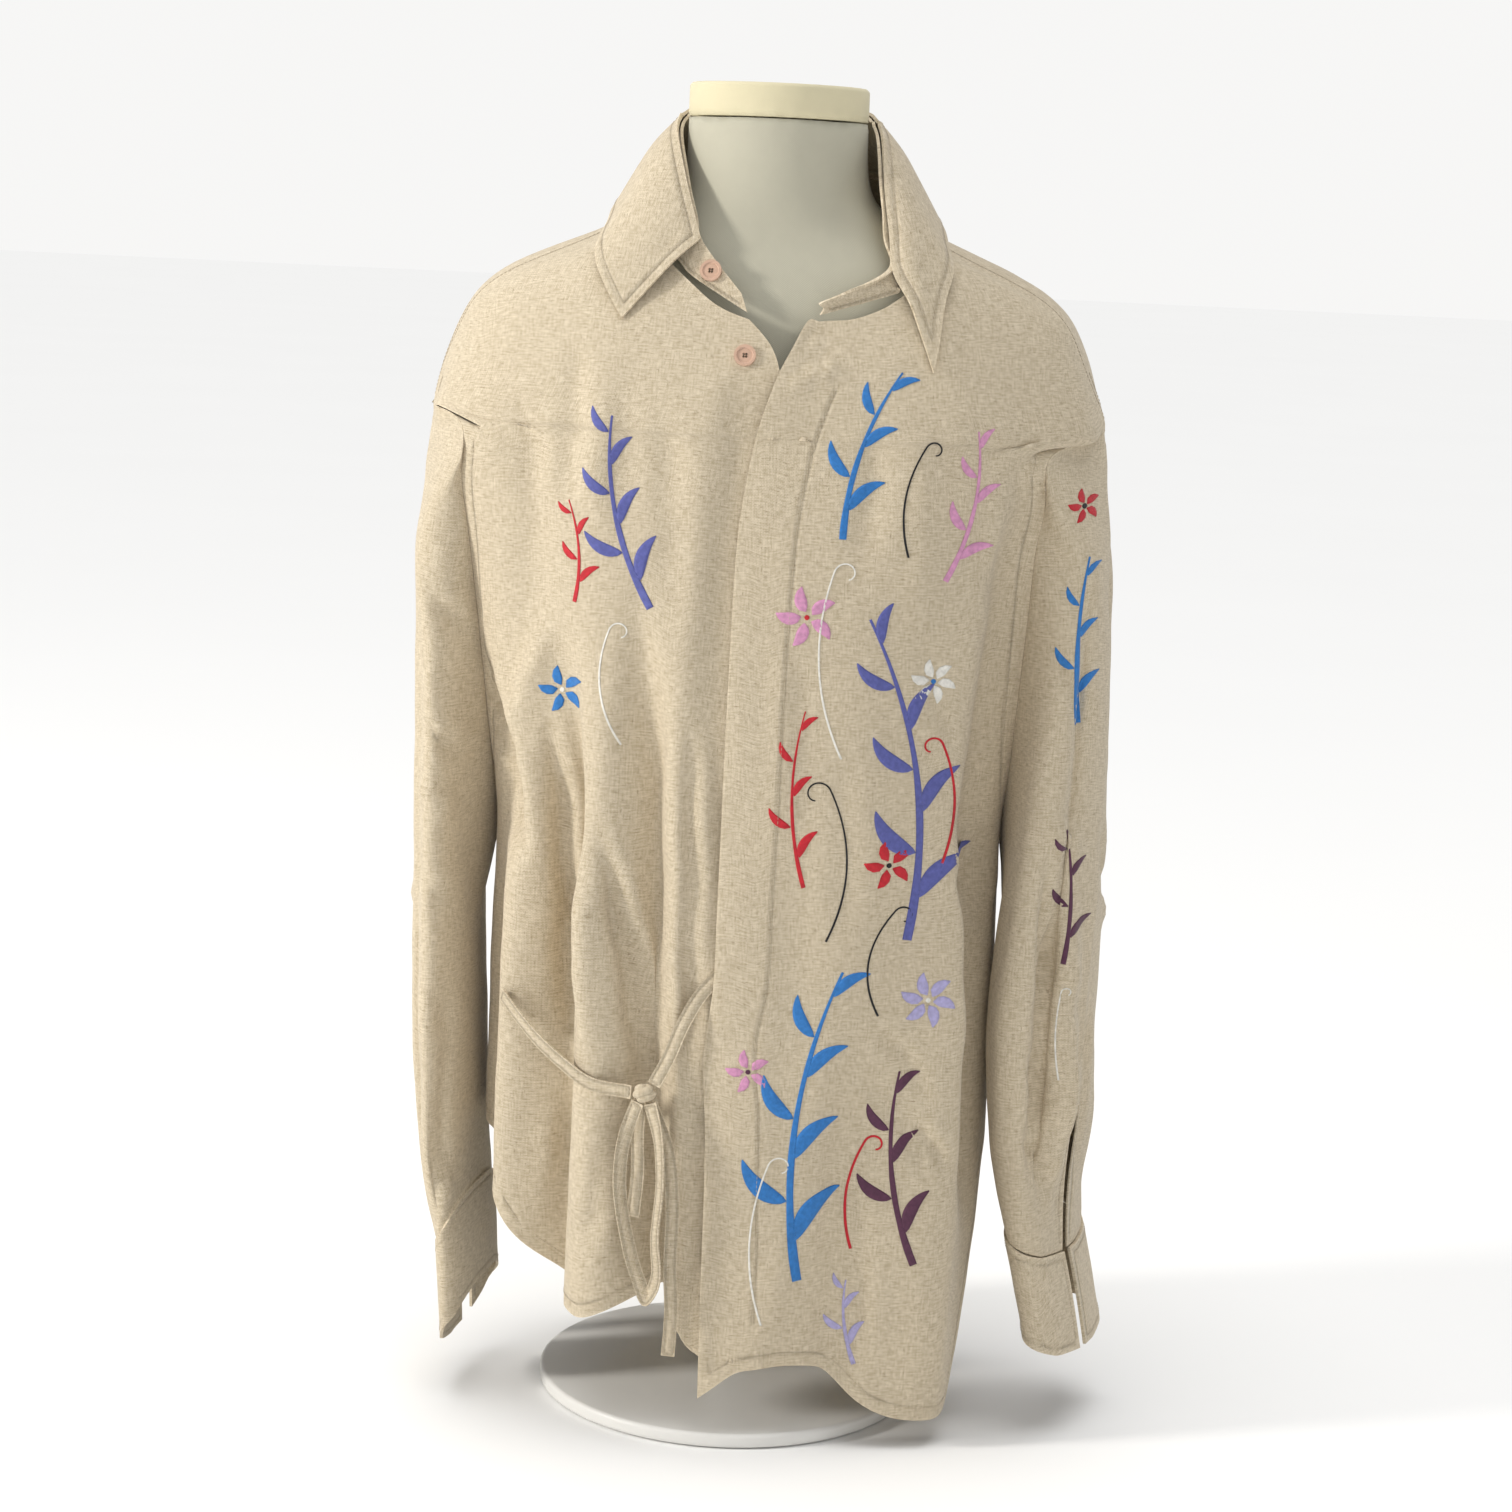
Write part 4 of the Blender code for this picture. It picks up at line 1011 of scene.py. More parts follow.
SEAM_COLUMNS = ("node", "where", "offset")
SEAMS = (
    ("front_left", "hem", 0.0090),
    ("front_left", "slit", 0.0060),
    ("front_left", "front edge", 0.0370),
    ("front_left", "armhole", 0.0100),
    ("front_right", "hem", 0.0090),
    ("front_right", "slit", 0.0060),
    ("front_right", "armhole", 0.0100),
    ("back", "hem", 0.0090),
    ("back", "slit", 0.0060),
    ("back", "armhole", 0.0100),
    ("yoke", "all", 0.0018),
    ("yoke", "drop", 0.0100),
    ("collar_stand", "lower", 0.0020),
    ("collar_leaf", "outer", 0.0055),
    ("cuff_right", "all", 0.0050),
    ("cuff_left", "all", 0.0050),
    ("sleeve_right", "vent", 0.0050),
    ("sleeve_left", "vent", 0.0050),
    ("tie_side_run", "all", 0.0014),
    ("tie_placket_run", "all", 0.0014),
    ("tie_loop", "all", 0.0014),
    ("tie_tail_long", "all", 0.0014),
    ("tie_tail_short", "all", 0.0014),
)
WHERE = {
    "all": lambda p, inward: np.full(len(p), True),
    "hem": lambda p, inward: (p[:, 2] < 0.20) & (inward[:, 2] > 0.45),
    "slit": lambda p, inward: (p[:, 2] < 0.19) & (np.abs(p[:, 0]) > 0.12) & (inward[:, 2] <= 0.45),
    "front edge": lambda p, inward: (np.abs(p[:, 0]) < 0.06) & (inward[:, 0] > 0.6) & (p[:, 2] < 0.72),
    "armhole": lambda p, inward: (
        (p[:, 2] > 0.40) & (p[:, 2] < 0.70) & (np.abs(p[:, 0]) > 0.14) & (inward[:, 2] < 0.5)
    ),
    "drop": lambda p, inward: (np.abs(p[:, 0]) > 0.185) & (inward[:, 2] > 0.3),
    "lower": lambda p, inward: inward[:, 2] > 0.3,
    "outer": lambda p, inward: inward[:, 2] > -0.75,
    "vent": lambda p, inward: (p[:, 2] < 0.26) & (np.abs(inward[:, 2]) < 0.6),
}


# How far the way into the cloth is tried, how near a line may come to another edge, how far apart and how few
# its points may be, and how close they are set to measure from
PROBE = 0.003
PROBE_EVERY = 5
CLEAR_SHARE = 0.86
LONGEST_STEP = 0.03
FEWEST_POINTS = 4
LINE_STEP = 0.0006


def inward_ways(points, normals, loop, tree):
    """The way into the cloth at each point of an open edge."""
    ring = points[loop]
    tangent = np.roll(ring, -1, axis=0) - np.roll(ring, 1, axis=0)
    tangent /= np.maximum(np.linalg.norm(tangent, axis=1, keepdims=True), TINY)
    inward = np.cross(normals[loop], tangent)
    inward /= np.maximum(np.linalg.norm(inward, axis=1, keepdims=True), TINY)
    votes = 0.0
    for place, way in zip(ring[::PROBE_EVERY], inward[::PROBE_EVERY]):
        there = tree.find_nearest(Vector(place + PROBE * way))[3]
        back = tree.find_nearest(Vector(place - PROBE * way))[3]
        votes += back - there
    return inward if votes > 0 else -inward


def seam_lines(node):
    """The sewn lines of a sheet: runs of points on it at each seam's distance from its open edges."""
    sheet = SHEETS[node]
    points, tree = sheet["points"], sheet["tree"]
    border = near_tree([points[v] for loop in sheet["edges"] for v in loop])
    runs = []
    for seam in rows_of(SEAMS, SEAM_COLUMNS):
        if seam["node"] != node:
            continue
        for loop in sheet["edges"]:
            inward = inward_ways(points, sheet["normals"], loop, tree)
            ring = points[loop]
            chosen = WHERE[seam["where"]](ring, inward)
            run = []
            for i in list(range(len(loop))) + [0]:
                place = None
                if chosen[i]:
                    place = np.array(tree.find_nearest(Vector(ring[i] + inward[i] * seam["offset"]))[0])
                    if border.find(place)[2] < CLEAR_SHARE * seam["offset"]:
                        place = None
                if place is not None and (not run or np.linalg.norm(place - run[-1]) < LONGEST_STEP):
                    run.append(place)
                else:
                    runs.append(run)
                    run = [place] if place is not None else []
            runs.append(run)
    return [np.array(run) for run in runs if len(run) >= FEWEST_POINTS]


def evenly(line, step):
    """Points a step apart along a line, after it is smoothed a little."""
    calm = line.copy()
    for _ in range(3):
        calm[1:-1] = 0.25 * calm[:-2] + 0.5 * calm[1:-1] + 0.25 * calm[2:]
    length = np.concatenate([[0.0], np.cumsum(np.linalg.norm(np.diff(calm, axis=0), axis=1))])
    at = np.arange(0.5 * step, length[-1], step)
    return np.stack([np.interp(at, length, calm[:, axis]) for axis in range(3)], -1)


# A stitch: how far along each ring is and how thick, as shares of its length and thickness
STITCH_RINGS = ((-0.50, 0.30), (-0.30, 0.92), (0.30, 0.92), (0.50, 0.30))
STITCH_SIDES = 5
STITCH_LIFT = 0.52


def stitch_mesh(places, ways, normals, length, thickness):
    """Many small thread grains lying on a cloth."""
    turn = np.linspace(0.0, math.tau, STITCH_SIDES, endpoint=False)
    aside = np.cross(normals, ways)
    rings = []
    for at, size in STITCH_RINGS:
        for angle in turn:
            offset = ways * (at * length)
            offset = offset + aside * (0.5 * thickness * size * math.cos(angle))
            offset = offset + normals * (0.5 * thickness * size * math.sin(angle))
            rings.append(places + normals * (STITCH_LIFT * thickness) + offset)
    verts = np.stack(rings, 1).reshape(-1, 3)
    count = len(STITCH_RINGS) * STITCH_SIDES
    one = [tuple(range(STITCH_SIDES - 1, -1, -1)), tuple(range(count - STITCH_SIDES, count))]
    for ring in range(len(STITCH_RINGS) - 1):
        for i in range(STITCH_SIDES):
            right = (i + 1) % STITCH_SIDES
            low, high = ring * STITCH_SIDES, (ring + 1) * STITCH_SIDES
            one.append((low + i, low + right, high + right, high + i))
    faces = [tuple(start * count + i for i in face) for start in range(len(places)) for face in one]
    return verts, faces


def lay_stitches(node, lines):
    """Stitches along a sheet's sewn lines, as one piece."""
    sizes = bpy.context.scene.shirt_sizes
    tree = SHEETS[node]["tree"]
    places, ways, normals = [], [], []
    for line in lines:
        row = evenly(line, sizes.stitch_pitch)
        if len(row) < 2:
            continue
        heading = np.gradient(row, axis=0)
        for place, way in zip(row, heading):
            near, normal = tree.find_nearest(Vector(place))[:2]
            way = Vector(way)
            way = (way - normal * way.dot(normal)).normalized()
            places.append(near)
            ways.append(way)
            normals.append(normal)
    verts, faces = stitch_mesh(
        np.array(places), np.array(ways), np.array(normals), sizes.stitch_length, sizes.stitch_thickness
    )
    obj = object_of("stitches_" + node, verts, faces)
    right_way_out(obj)
    obj.data.shade_smooth()
    dress(obj, thread_material("sewing_thread", bpy.context.scene.shirt_colours.thread))
    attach(obj, "root")
    return obj


def right_way_out(obj):
    shape = bmesh.new()
    shape.from_mesh(obj.data)
    bmesh.ops.recalc_face_normals(shape, faces=shape.faces)
    shape.to_mesh(obj.data)
    shape.free()


def make_cloth(node):
    """One cloth piece, from its frame wall to its finished, creased and sewn sheet."""
    facts = next(row for row in rows_of(CLOTH, CLOTH_COLUMNS) if row["node"] == node)
    obj = outer_side(node, facts["wall"])
    lay_flat(obj, node in TWO_MAPS)
    subdivided(obj)
    creased(obj, node, facts["wall"])
    if node in SEWN_TO:
        sewn_shut(obj, node)
    remember_sheet(obj, node)
    lines = seam_lines(node)
    points = SHEETS[node]["points"]
    sewn = np.full(len(points), FAR)
    if lines:
        tree = near_tree(np.concatenate([evenly(line, LINE_STEP) for line in lines]))
        sewn = [tree.find(p)[2] for p in points]
    add_distances(obj, sewn, edge_distance(points, SHEETS[node]["edges"]))
    thickened(obj, facts["wall"])
    obj.data.shade_smooth()
    choose(obj)
    bpy.ops.object.shade_smooth_by_angle(angle=SMOOTH_ANGLE)
    dress(obj, linen_material())
    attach(obj, "root")
    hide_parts(node)
    pieces = [lay_stitches(node, lines)] if lines else []


FORM = {}


def form_tree():
    if "tree" not in FORM:
        shape = merged("form_torso")
        FORM["tree"] = BVHTree.FromBMesh(shape)
        shape.free()
    return FORM["tree"]


# Motifs: leafy sprigs, small flowers and curled tendrils, embroidered on the cloth

MOTIF_COLOURS = {
    "blue": (0.030, 0.190, 0.530),
    "violet_blue": (0.105, 0.118, 0.370),
    "plum": (0.095, 0.030, 0.064),
    "red": (0.540, 0.016, 0.028),
    "pink": (0.650, 0.300, 0.490),
    "lavender": (0.420, 0.390, 0.640),
    "black": (0.012, 0.012, 0.014),
    "white": (0.800, 0.780, 0.720),
}
SPRIG_COLUMNS = ("node", "colour", "x", "z", "to_x", "to_z", "bow", "leaves", "leaf", "width")
SPRIGS = (
    ("front_left", "blue", 0.052, 0.120, 0.072, 0.330, 0.016, 7, 0.046, 0.0060),
    ("front_left", "violet_blue", 0.112, 0.350, 0.078, 0.560, -0.018, 7, 0.044, 0.0060),
    ("front_left", "plum", 0.128, 0.130, 0.112, 0.262, 0.010, 5, 0.034, 0.0050),
    ("front_left", "blue", 0.058, 0.610, 0.090, 0.715, 0.008, 5, 0.030, 0.0045),
    ("front_left", "red", 0.044, 0.385, 0.040, 0.500, 0.008, 5, 0.022, 0.0028),
    ("front_left", "pink", 0.124, 0.585, 0.140, 0.680, -0.008, 5, 0.024, 0.0036),
    ("front_left", "lavender", 0.092, 0.060, 0.084, 0.118, 0.004, 4, 0.020, 0.0032),
    ("front_right", "violet_blue", -0.062, 0.560, -0.092, 0.680, 0.010, 6, 0.032, 0.0050),
    ("front_right", "red", -0.112, 0.560, -0.118, 0.625, -0.005, 4, 0.018, 0.0026),
    ("sleeve_left", "blue", 0.216, 0.490, 0.217, 0.600, 0.004, 5, 0.021, 0.0042),
    ("sleeve_left", "plum", 0.216, 0.330, 0.213, 0.420, -0.004, 4, 0.020, 0.0034),
)
FLOWER_COLUMNS = ("node", "colour", "heart", "x", "z", "petals", "size")
FLOWERS = (
    ("front_left", "pink", "red", 0.038, 0.560, 5, 0.016),
    ("front_left", "lavender", "white", 0.128, 0.310, 6, 0.015),
    ("front_left", "red", "black", 0.098, 0.400, 5, 0.013),
    ("front_left", "pink", "plum", 0.014, 0.262, 5, 0.012),
    ("front_left", "white", "blue", 0.120, 0.520, 6, 0.012),
    ("front_right", "blue", "white", -0.120, 0.500, 5, 0.013),
    ("sleeve_left", "red", "black", 0.212, 0.632, 5, 0.009),
)
TENDRIL_COLUMNS = ("node", "colour", "x", "z", "to_x", "to_z", "bow", "curl", "width")
TENDRILS = (
    ("front_left", "black", 0.060, 0.350, 0.058, 0.450, -0.012, 0.009, 0.0014),
    ("front_left", "black", 0.096, 0.300, 0.104, 0.370, 0.012, 0.007, 0.0014),
    ("front_left", "white", 0.030, 0.090, 0.030, 0.200, 0.010, 0.008, 0.0014),
    ("front_left", "white", 0.064, 0.470, 0.054, 0.590, 0.012, 0.008, 0.0014),
    ("front_left", "red", 0.132, 0.400, 0.128, 0.480, -0.008, 0.007, 0.0018),
    ("front_left", "red", 0.086, 0.140, 0.092, 0.215, 0.008, 0.007, 0.0020),
    ("front_left", "black", 0.100, 0.600, 0.108, 0.670, 0.008, 0.006, 0.0014),
    ("front_right", "white", -0.078, 0.470, -0.088, 0.545, 0.010, 0.007, 0.0014),
    ("sleeve_left", "white", 0.218, 0.250, 0.216, 0.310, 0.003, 0.004, 0.0012),
)
# A stroke: the step along it, its columns and its lift off the cloth
STROKE_STEP = 0.0022
STROKE_COLUMNS = 4
STROKE_LIFT = 0.00006
FEWEST_ROWS = 3
# A leaf or petal: its least width, its bow and the roundness of its ends
LEAF_POINT = 0.0006
LEAF_BOW = 0.14
LEAF_ROUNDNESS = 0.8
# Leaves on a stem: their lean in degrees, how much it and their size lessen to the tip, their width and
# distance, the stem's taper and waves, the shares of a leaf's step before the first and after the last
LEAF_LEAN = 46.0
LEAF_RISE = 10.0
LEAF_SHRINK = 0.45
LEAF_WIDTH = 0.26
LEAF_GAP = 0.0012
STEM_TAPER = 0.72
STEM_WAVES = (0.08, 19)
LEAVES_START = 0.9
LEAVES_END = 0.6
LEAST_LEAF_POINTS = 5
LEAST_STEM_POINTS = 8
# A flower: the petals' turn in degrees, their width and distance, and the heart's length, width and points
PETAL_TURN = 12.0
PETAL_WIDTH = 0.46
PETAL_GAP = 0.24
HEART_HALF = 0.0016
HEART_WIDTH = 0.0034
HEART_ENDS = 0.35
HEART_POINTS = 7
# A tendril: the points of its stem and curl, and how far the curl turns, tightens and thins
TENDRIL_POINTS = 40
CURL_POINTS = 24
CURL_TURN = 1.35 * math.pi
CURL_TIGHTENS = 0.55
TENDRIL_TAPER = 0.4


def curve(start, end, bow, count):
    """Points of a bowed way between two places of the pattern."""
    start, end = np.array(start, float), np.array(end, float)
    way = end - start
    aside = np.array([-way[1], way[0]]) / max(np.linalg.norm(way), TINY)
    share = np.linspace(0.0, 1.0, count)[:, None]
    return start + way * share + aside * (bow * 4 * share * (1 - share))


class Embroidery:
    """Gathers strokes of one colour, laid on the cloth from the front."""

    def __init__(self):
        self.verts, self.faces, self.map = [], [], []

    def stroke(self, node, flat, widths):
        tree = SHEETS[node]["tree"]
        sizes = bpy.context.scene.shirt_sizes
        heading = np.gradient(flat, axis=0)
        heading /= np.maximum(np.linalg.norm(heading, axis=1, keepdims=True), TINY)
        aside = np.stack([-heading[:, 1], heading[:, 0]], -1)
        rows = []
        for place, side, width in zip(flat, aside, widths):
            row = []
            for i in range(STROKE_COLUMNS + 1):
                spot = place + side * (width * (i / STROKE_COLUMNS - 0.5))
                hit, normal, _, _ = tree.ray_cast(Vector((spot[0], -0.5, spot[1])), Vector((0.0, 1.0, 0.0)))
                if hit is None:
                    break
                row.append(hit + normal * (sizes.paint_thickness + STROKE_LIFT))
            if len(row) != STROKE_COLUMNS + 1:
                break
            rows.append(row)
        if len(rows) < FEWEST_ROWS:
            return
        start = len(self.verts)
        onward = 0.0
        for number, row in enumerate(rows):
            if number:
                onward += (row[2] - rows[number - 1][2]).length
            for i, spot in enumerate(row):
                self.verts.append(tuple(spot))
                self.map.append((widths[number] * (i / STROKE_COLUMNS - 0.5), onward))
        wide = STROKE_COLUMNS + 1
        for number in range(len(rows) - 1):
            for i in range(STROKE_COLUMNS):
                a = start + number * wide + i
                self.faces.append((a, a + 1, a + 1 + wide, a + wide))

    def leaf(self, node, base, way, length, width):
        end = base + way * length
        count = max(LEAST_LEAF_POINTS, int(length / STROKE_STEP))
        flat = curve(base, end, LEAF_BOW * length, count)
        share = np.linspace(0.0, 1.0, count)
        fullness = np.sin(math.pi * share ** LEAF_ROUNDNESS) ** LEAF_ROUNDNESS
        self.stroke(node, flat, LEAF_POINT + width * fullness)


def turned(way, degrees):
    angle = math.radians(degrees)
    return np.array([
        way[0] * math.cos(angle) - way[1] * math.sin(angle),
        way[0] * math.sin(angle) + way[1] * math.cos(angle),
    ])


def sew_motifs():
    """All motifs, one piece for each thread colour."""
    work = {colour: Embroidery() for colour in MOTIF_COLOURS}
    for sprig in rows_of(SPRIGS, SPRIG_COLUMNS):
        start, end = (sprig["x"], sprig["z"]), (sprig["to_x"], sprig["to_z"])
        length = math.dist(start, end)
        count = max(LEAST_STEM_POINTS, int(length / STROKE_STEP))
        stem = curve(start, end, sprig["bow"], count)
        share = np.linspace(0.0, 1.0, count)
        size, often = STEM_WAVES
        widths = sprig["width"] * (1.0 - STEM_TAPER * share) * (1 + size * np.sin(often * share))
        work[sprig["colour"]].stroke(sprig["node"], stem, widths)
        for number in range(sprig["leaves"]):
            at = (number + LEAVES_START) / (sprig["leaves"] + LEAVES_END)
            i = min(count - 2, int(at * count))
            way = stem[i + 1] - stem[i]
            way = way / np.linalg.norm(way)
            side = 1 if number % 2 else -1
            size = sprig["leaf"] * (1.0 - LEAF_SHRINK * at)
            away = turned(way, side * (LEAF_LEAN - LEAF_RISE * at))
            gap = away * (0.5 * widths[i] + LEAF_GAP)
            work[sprig["colour"]].leaf(sprig["node"], stem[i] + gap, away, size, LEAF_WIDTH * size)
    for flower in rows_of(FLOWERS, FLOWER_COLUMNS):
        middle, size = np.array([flower["x"], flower["z"]]), flower["size"]
        for petal in range(flower["petals"]):
            way = turned(np.array([0.0, 1.0]), 360.0 * petal / flower["petals"] + PETAL_TURN)
            base = middle + way * PETAL_GAP * size
            work[flower["colour"]].leaf(flower["node"], base, way, size, PETAL_WIDTH * size)
        heart = curve(middle - [0.0, HEART_HALF], middle + [0.0, HEART_HALF], 0.0, HEART_POINTS)
        fullness = np.sin(np.linspace(HEART_ENDS, math.pi - HEART_ENDS, HEART_POINTS))
        work[flower["heart"]].stroke(flower["node"], heart, HEART_WIDTH * fullness)
    for tendril in rows_of(TENDRILS, TENDRIL_COLUMNS):
        start, end = (tendril["x"], tendril["z"]), (tendril["to_x"], tendril["to_z"])
        stem = curve(start, end, tendril["bow"], TENDRIL_POINTS)
        way = stem[-1] - stem[-2]
        heading = math.atan2(way[1], way[0])
        turn = np.linspace(0.0, CURL_TURN, CURL_POINTS)
        radius = tendril["curl"] * (1.0 - CURL_TIGHTENS * turn / turn[-1])
        side = math.copysign(1.0, tendril["bow"])
        curl = [stem[-1]]
        for angle, size, before in zip(turn[1:], radius[1:], turn[:-1]):
            step = size * (angle - before)
            facing = heading - side * angle
            curl.append(curl[-1] + step * np.array([math.cos(facing), math.sin(facing)]))
        line = np.concatenate([stem, curl[1:]])
        share = np.linspace(0.0, 1.0, len(line))
        widths = tendril["width"] * (1.0 - TENDRIL_TAPER * share)
        work[tendril["colour"]].stroke(tendril["node"], line, widths)
    sizes = bpy.context.scene.shirt_sizes
    for colour, strokes in work.items():
        if not strokes.faces:
            continue
        obj = object_of("motifs_" + colour, strokes.verts, strokes.faces)
        layer = obj.data.uv_layers.new(name="Cut")
        write_map(layer, [strokes.map[loop.vertex_index] for loop in obj.data.loops])
        outward_from_axis(obj)
        thickened(obj, sizes.paint_thickness)
        obj.data.shade_smooth()
        dress(obj, motif_material("motif_" + colour, MOTIF_COLOURS[colour]))
        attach(obj, "root")


def outward_from_axis(obj):
    """Turns every face of an open sheet to face away from the middle of the form, at the front."""
    shape = bmesh.new()
    shape.from_mesh(obj.data)
    wrong = [f for f in shape.faces if f.normal.y > 0]
    bmesh.ops.reverse_faces(shape, faces=wrong)
    shape.to_mesh(obj.data)
    shape.free()


# Ties, buttons, form and stand


# The knot: how its wraps lean, how many they are, how they bend, start and round off, how its puckers run,
# and how much of its size the core, the wraps and the puckers take
KNOT_LEAN = (0.8, 0.6)
WRAPS = 3.6
WRAP_BEND = 0.35
WRAP_START = 0.4
WRAP_ROUNDNESS = 0.6
PUCKERS_ROUND = 7.0
PUCKERS_UP = 4.0
KNOT_SIZES = (0.74, 0.23, 0.03)
KNOT_MAP = (0.05, 0.025)


def add_knot():
    """The tie's knot: a round of cloth with the grooves of its wraps."""
    low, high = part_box("tie_knot")
    middle = 0.5 * (low + high)
    half = 0.5 * (high - low)
    deselect()
    bpy.ops.mesh.primitive_uv_sphere_add(segments=64, ring_count=40, radius=1.0, location=middle)
    knot = bpy.context.object
    knot.name = "tie_knot_wraps"
    mesh = knot.data
    mesh.name = knot.name
    place = coordinates(mesh)
    x, y, z = place.T
    lean, rise = KNOT_LEAN
    turn = np.arctan2(x * lean + z * rise, -y)
    slope = z * lean - x * rise
    wraps = np.abs(np.sin(WRAPS * slope + WRAP_BEND * np.sin(2 * turn) + WRAP_START)) ** WRAP_ROUNDNESS
    puckers = 0.5 + 0.5 * np.sin(PUCKERS_ROUND * turn + PUCKERS_UP * slope)
    least, grooved, puckered = KNOT_SIZES
    size = least + grooved * wraps + puckered * puckers
    place = place * size[:, None] * np.array(half)
    set_coordinates(mesh, place)
    layer = mesh.uv_layers[0]
    layer.name = "Cut"
    write_map(layer, read_map(layer, len(mesh.loops)) * KNOT_MAP)
    far = np.full(len(place), FAR)
    add_distances(knot, far, far)
    choose(knot)
    bpy.ops.object.transform_apply(location=True, rotation=True, scale=True)
    mesh.shade_smooth()
    dress(knot, linen_material())
    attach(knot, "root")
    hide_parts("tie_knot")


# A button's thread: how far its two runs lie apart and under the rim, their length, thickness and colour
HOLES_APART = 0.0017
THREAD_SINK = 0.0008
THREAD_RUN = 0.0026
THREAD_THICKNESS = 0.0006
THREAD_DARKNESS = 0.4


def finish_buttons():
    """The buttons' shell finish and the dark thread across their holes."""
    colours = bpy.context.scene.shirt_colours
    finish = button_material()
    places, ways, normals = [], [], []
    for name in ("button_stand", "button_front"):
        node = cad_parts[name]
        dress(node, finish)
        points = coordinates(node.data)
        middle = 0.5 * (points.min(0) + points.max(0))
        spread = np.cov((points - middle).T)
        normal = np.linalg.eigh(spread)[1][:, 0]
        normal = -normal if normal[1] > 0 else normal
        level = np.cross([0.0, 0.0, 1.0], normal)
        level /= np.linalg.norm(level)
        upright = np.cross(normal, level)
        rise = float(((points - middle) @ normal).max()) - THREAD_SINK
        for side in (-0.5 * HOLES_APART, 0.5 * HOLES_APART):
            places.append(middle + normal * rise + level * side)
            ways.append(upright)
            normals.append(normal)
    verts, faces = stitch_mesh(
        np.array(places), np.array(ways), np.array(normals), THREAD_RUN, THREAD_THICKNESS
    )
    thread = object_of("button_thread", verts, faces)
    right_way_out(thread)
    thread.data.shade_smooth()
    dress(thread, thread_material("dark_thread", tuple(THREAD_DARKNESS * c for c in colours.linen_dark)))
    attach(thread, "root")


# A smooth copy: how often it is divided, how flat two faces lie that join and how firmly sharp rims are held
COPY_LEVELS = 2
FLAT_ANGLE = math.radians(0.5)
RIM_HOLD = 0.85


def smooth_copy(node, name, sharp):
    """A smoother copy of a node's solid that keeps its sharp rims and stays inside its facets."""
    shape = merged(node)
    bmesh.ops.dissolve_limit(
        shape, angle_limit=FLAT_ANGLE, verts=shape.verts[:], edges=shape.edges[:],
        use_dissolve_boundaries=False,
    )
    bmesh.ops.join_triangles(
        shape, faces=[f for f in shape.faces if len(f.verts) == 3],
        angle_face_threshold=math.pi, angle_shape_threshold=math.pi,
    )
    crease = shape.edges.layers.float.new("crease_edge")
    for edge in shape.edges:
        if len(edge.link_faces) == 2 and edge.calc_face_angle() > math.radians(sharp):
            edge[crease] = RIM_HOLD
    obj = as_object(shape, name)
    smoothing(obj, COPY_LEVELS)
    apply_modifier(obj, "smooth")
    obj.data.shade_smooth()
    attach(obj, "root")
    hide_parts(node)
    return obj


class SHIRT_OT_form(bpy.types.Operator):
    """Models the smooth covered dress form and its neck cap"""

    bl_idname = "shirt.form"
    bl_label = "Dress Form"

    def execute(self, context):
        colours = context.scene.shirt_colours
        torso = smooth_copy("form_torso", "form_cover", 60.0)
        dress(torso, cover_material("form_cover_cloth", colours.form, 0.88))
        cap = smooth_copy("form_cap", "form_neck_cap", 40.0)
        dress(cap, cover_material("cap_cover_cloth", colours.cap, 0.92))
        return {"FINISHED"}


# The stand's round pieces with their bevels
FOOT = (("form_post", "stand_post", 0.0008), ("form_base", "stand_base", 0.003))
BEVEL_SEGMENTS = 4
FOOT_ANGLE = math.radians(35.0)


class SHIRT_OT_foot(bpy.types.Operator):
    """Models the post and the round base"""

    bl_idname = "shirt.foot"
    bl_label = "Post and Base"

    def execute(self, context):
        sides = context.scene.shirt_sizes.round_sides
        finish = foot_material()
        for node, name, bevel in FOOT:
            low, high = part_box(node)
            middle = 0.5 * (low + high)
            deselect()
            bpy.ops.mesh.primitive_cylinder_add(
                vertices=sides, radius=0.5 * (high.x - low.x), depth=high.z - low.z, location=middle
            )
            obj = context.object
            obj.name = name
            obj.data.name = name
            edge = obj.modifiers.new("edge", "BEVEL")
            edge.width = bevel
            edge.segments = BEVEL_SEGMENTS
            edge.limit_method = "ANGLE"
            apply_modifier(obj, "edge")
            bpy.ops.object.transform_apply(location=True, rotation=True, scale=True)
            bpy.ops.object.shade_smooth_by_angle(angle=FOOT_ANGLE)
            dress(obj, finish)
            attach(obj, "root")
            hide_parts(node)
        return {"FINISHED"}


class SHIRT_OT_body(bpy.types.Operator):
    """Models the two fronts, the back and the yoke"""

    bl_idname = "shirt.body"
    bl_label = "Fronts, Back and Yoke"

    def execute(self, context):
        for node in ("front_left", "front_right", "back", "yoke"):
            make_cloth(node)
        return {"FINISHED"}


class SHIRT_OT_collar(bpy.types.Operator):
    """Models the collar stand and the pointed leaf"""

    bl_idname = "shirt.collar"
    bl_label = "Collar"

    def execute(self, context):
        for node in ("collar_stand", "collar_leaf"):
            make_cloth(node)
        return {"FINISHED"}


class SHIRT_OT_sleeves(bpy.types.Operator):
    """Models the sleeves and their open cuffs"""

    bl_idname = "shirt.sleeves"
    bl_label = "Sleeves and Cuffs"

    def execute(self, context):
        for node in ("sleeve_right", "sleeve_left", "cuff_right", "cuff_left"):
            make_cloth(node)
        return {"FINISHED"}


class SHIRT_OT_tie(bpy.types.Operator):
    """Models the narrow tie with its knot, loop and tails"""

    bl_idname = "shirt.tie"
    bl_label = "Tie"

    def execute(self, context):
        for node in ("tie_side_run", "tie_placket_run", "tie_loop", "tie_tail_long", "tie_tail_short"):
            make_cloth(node)
        add_knot()
        return {"FINISHED"}


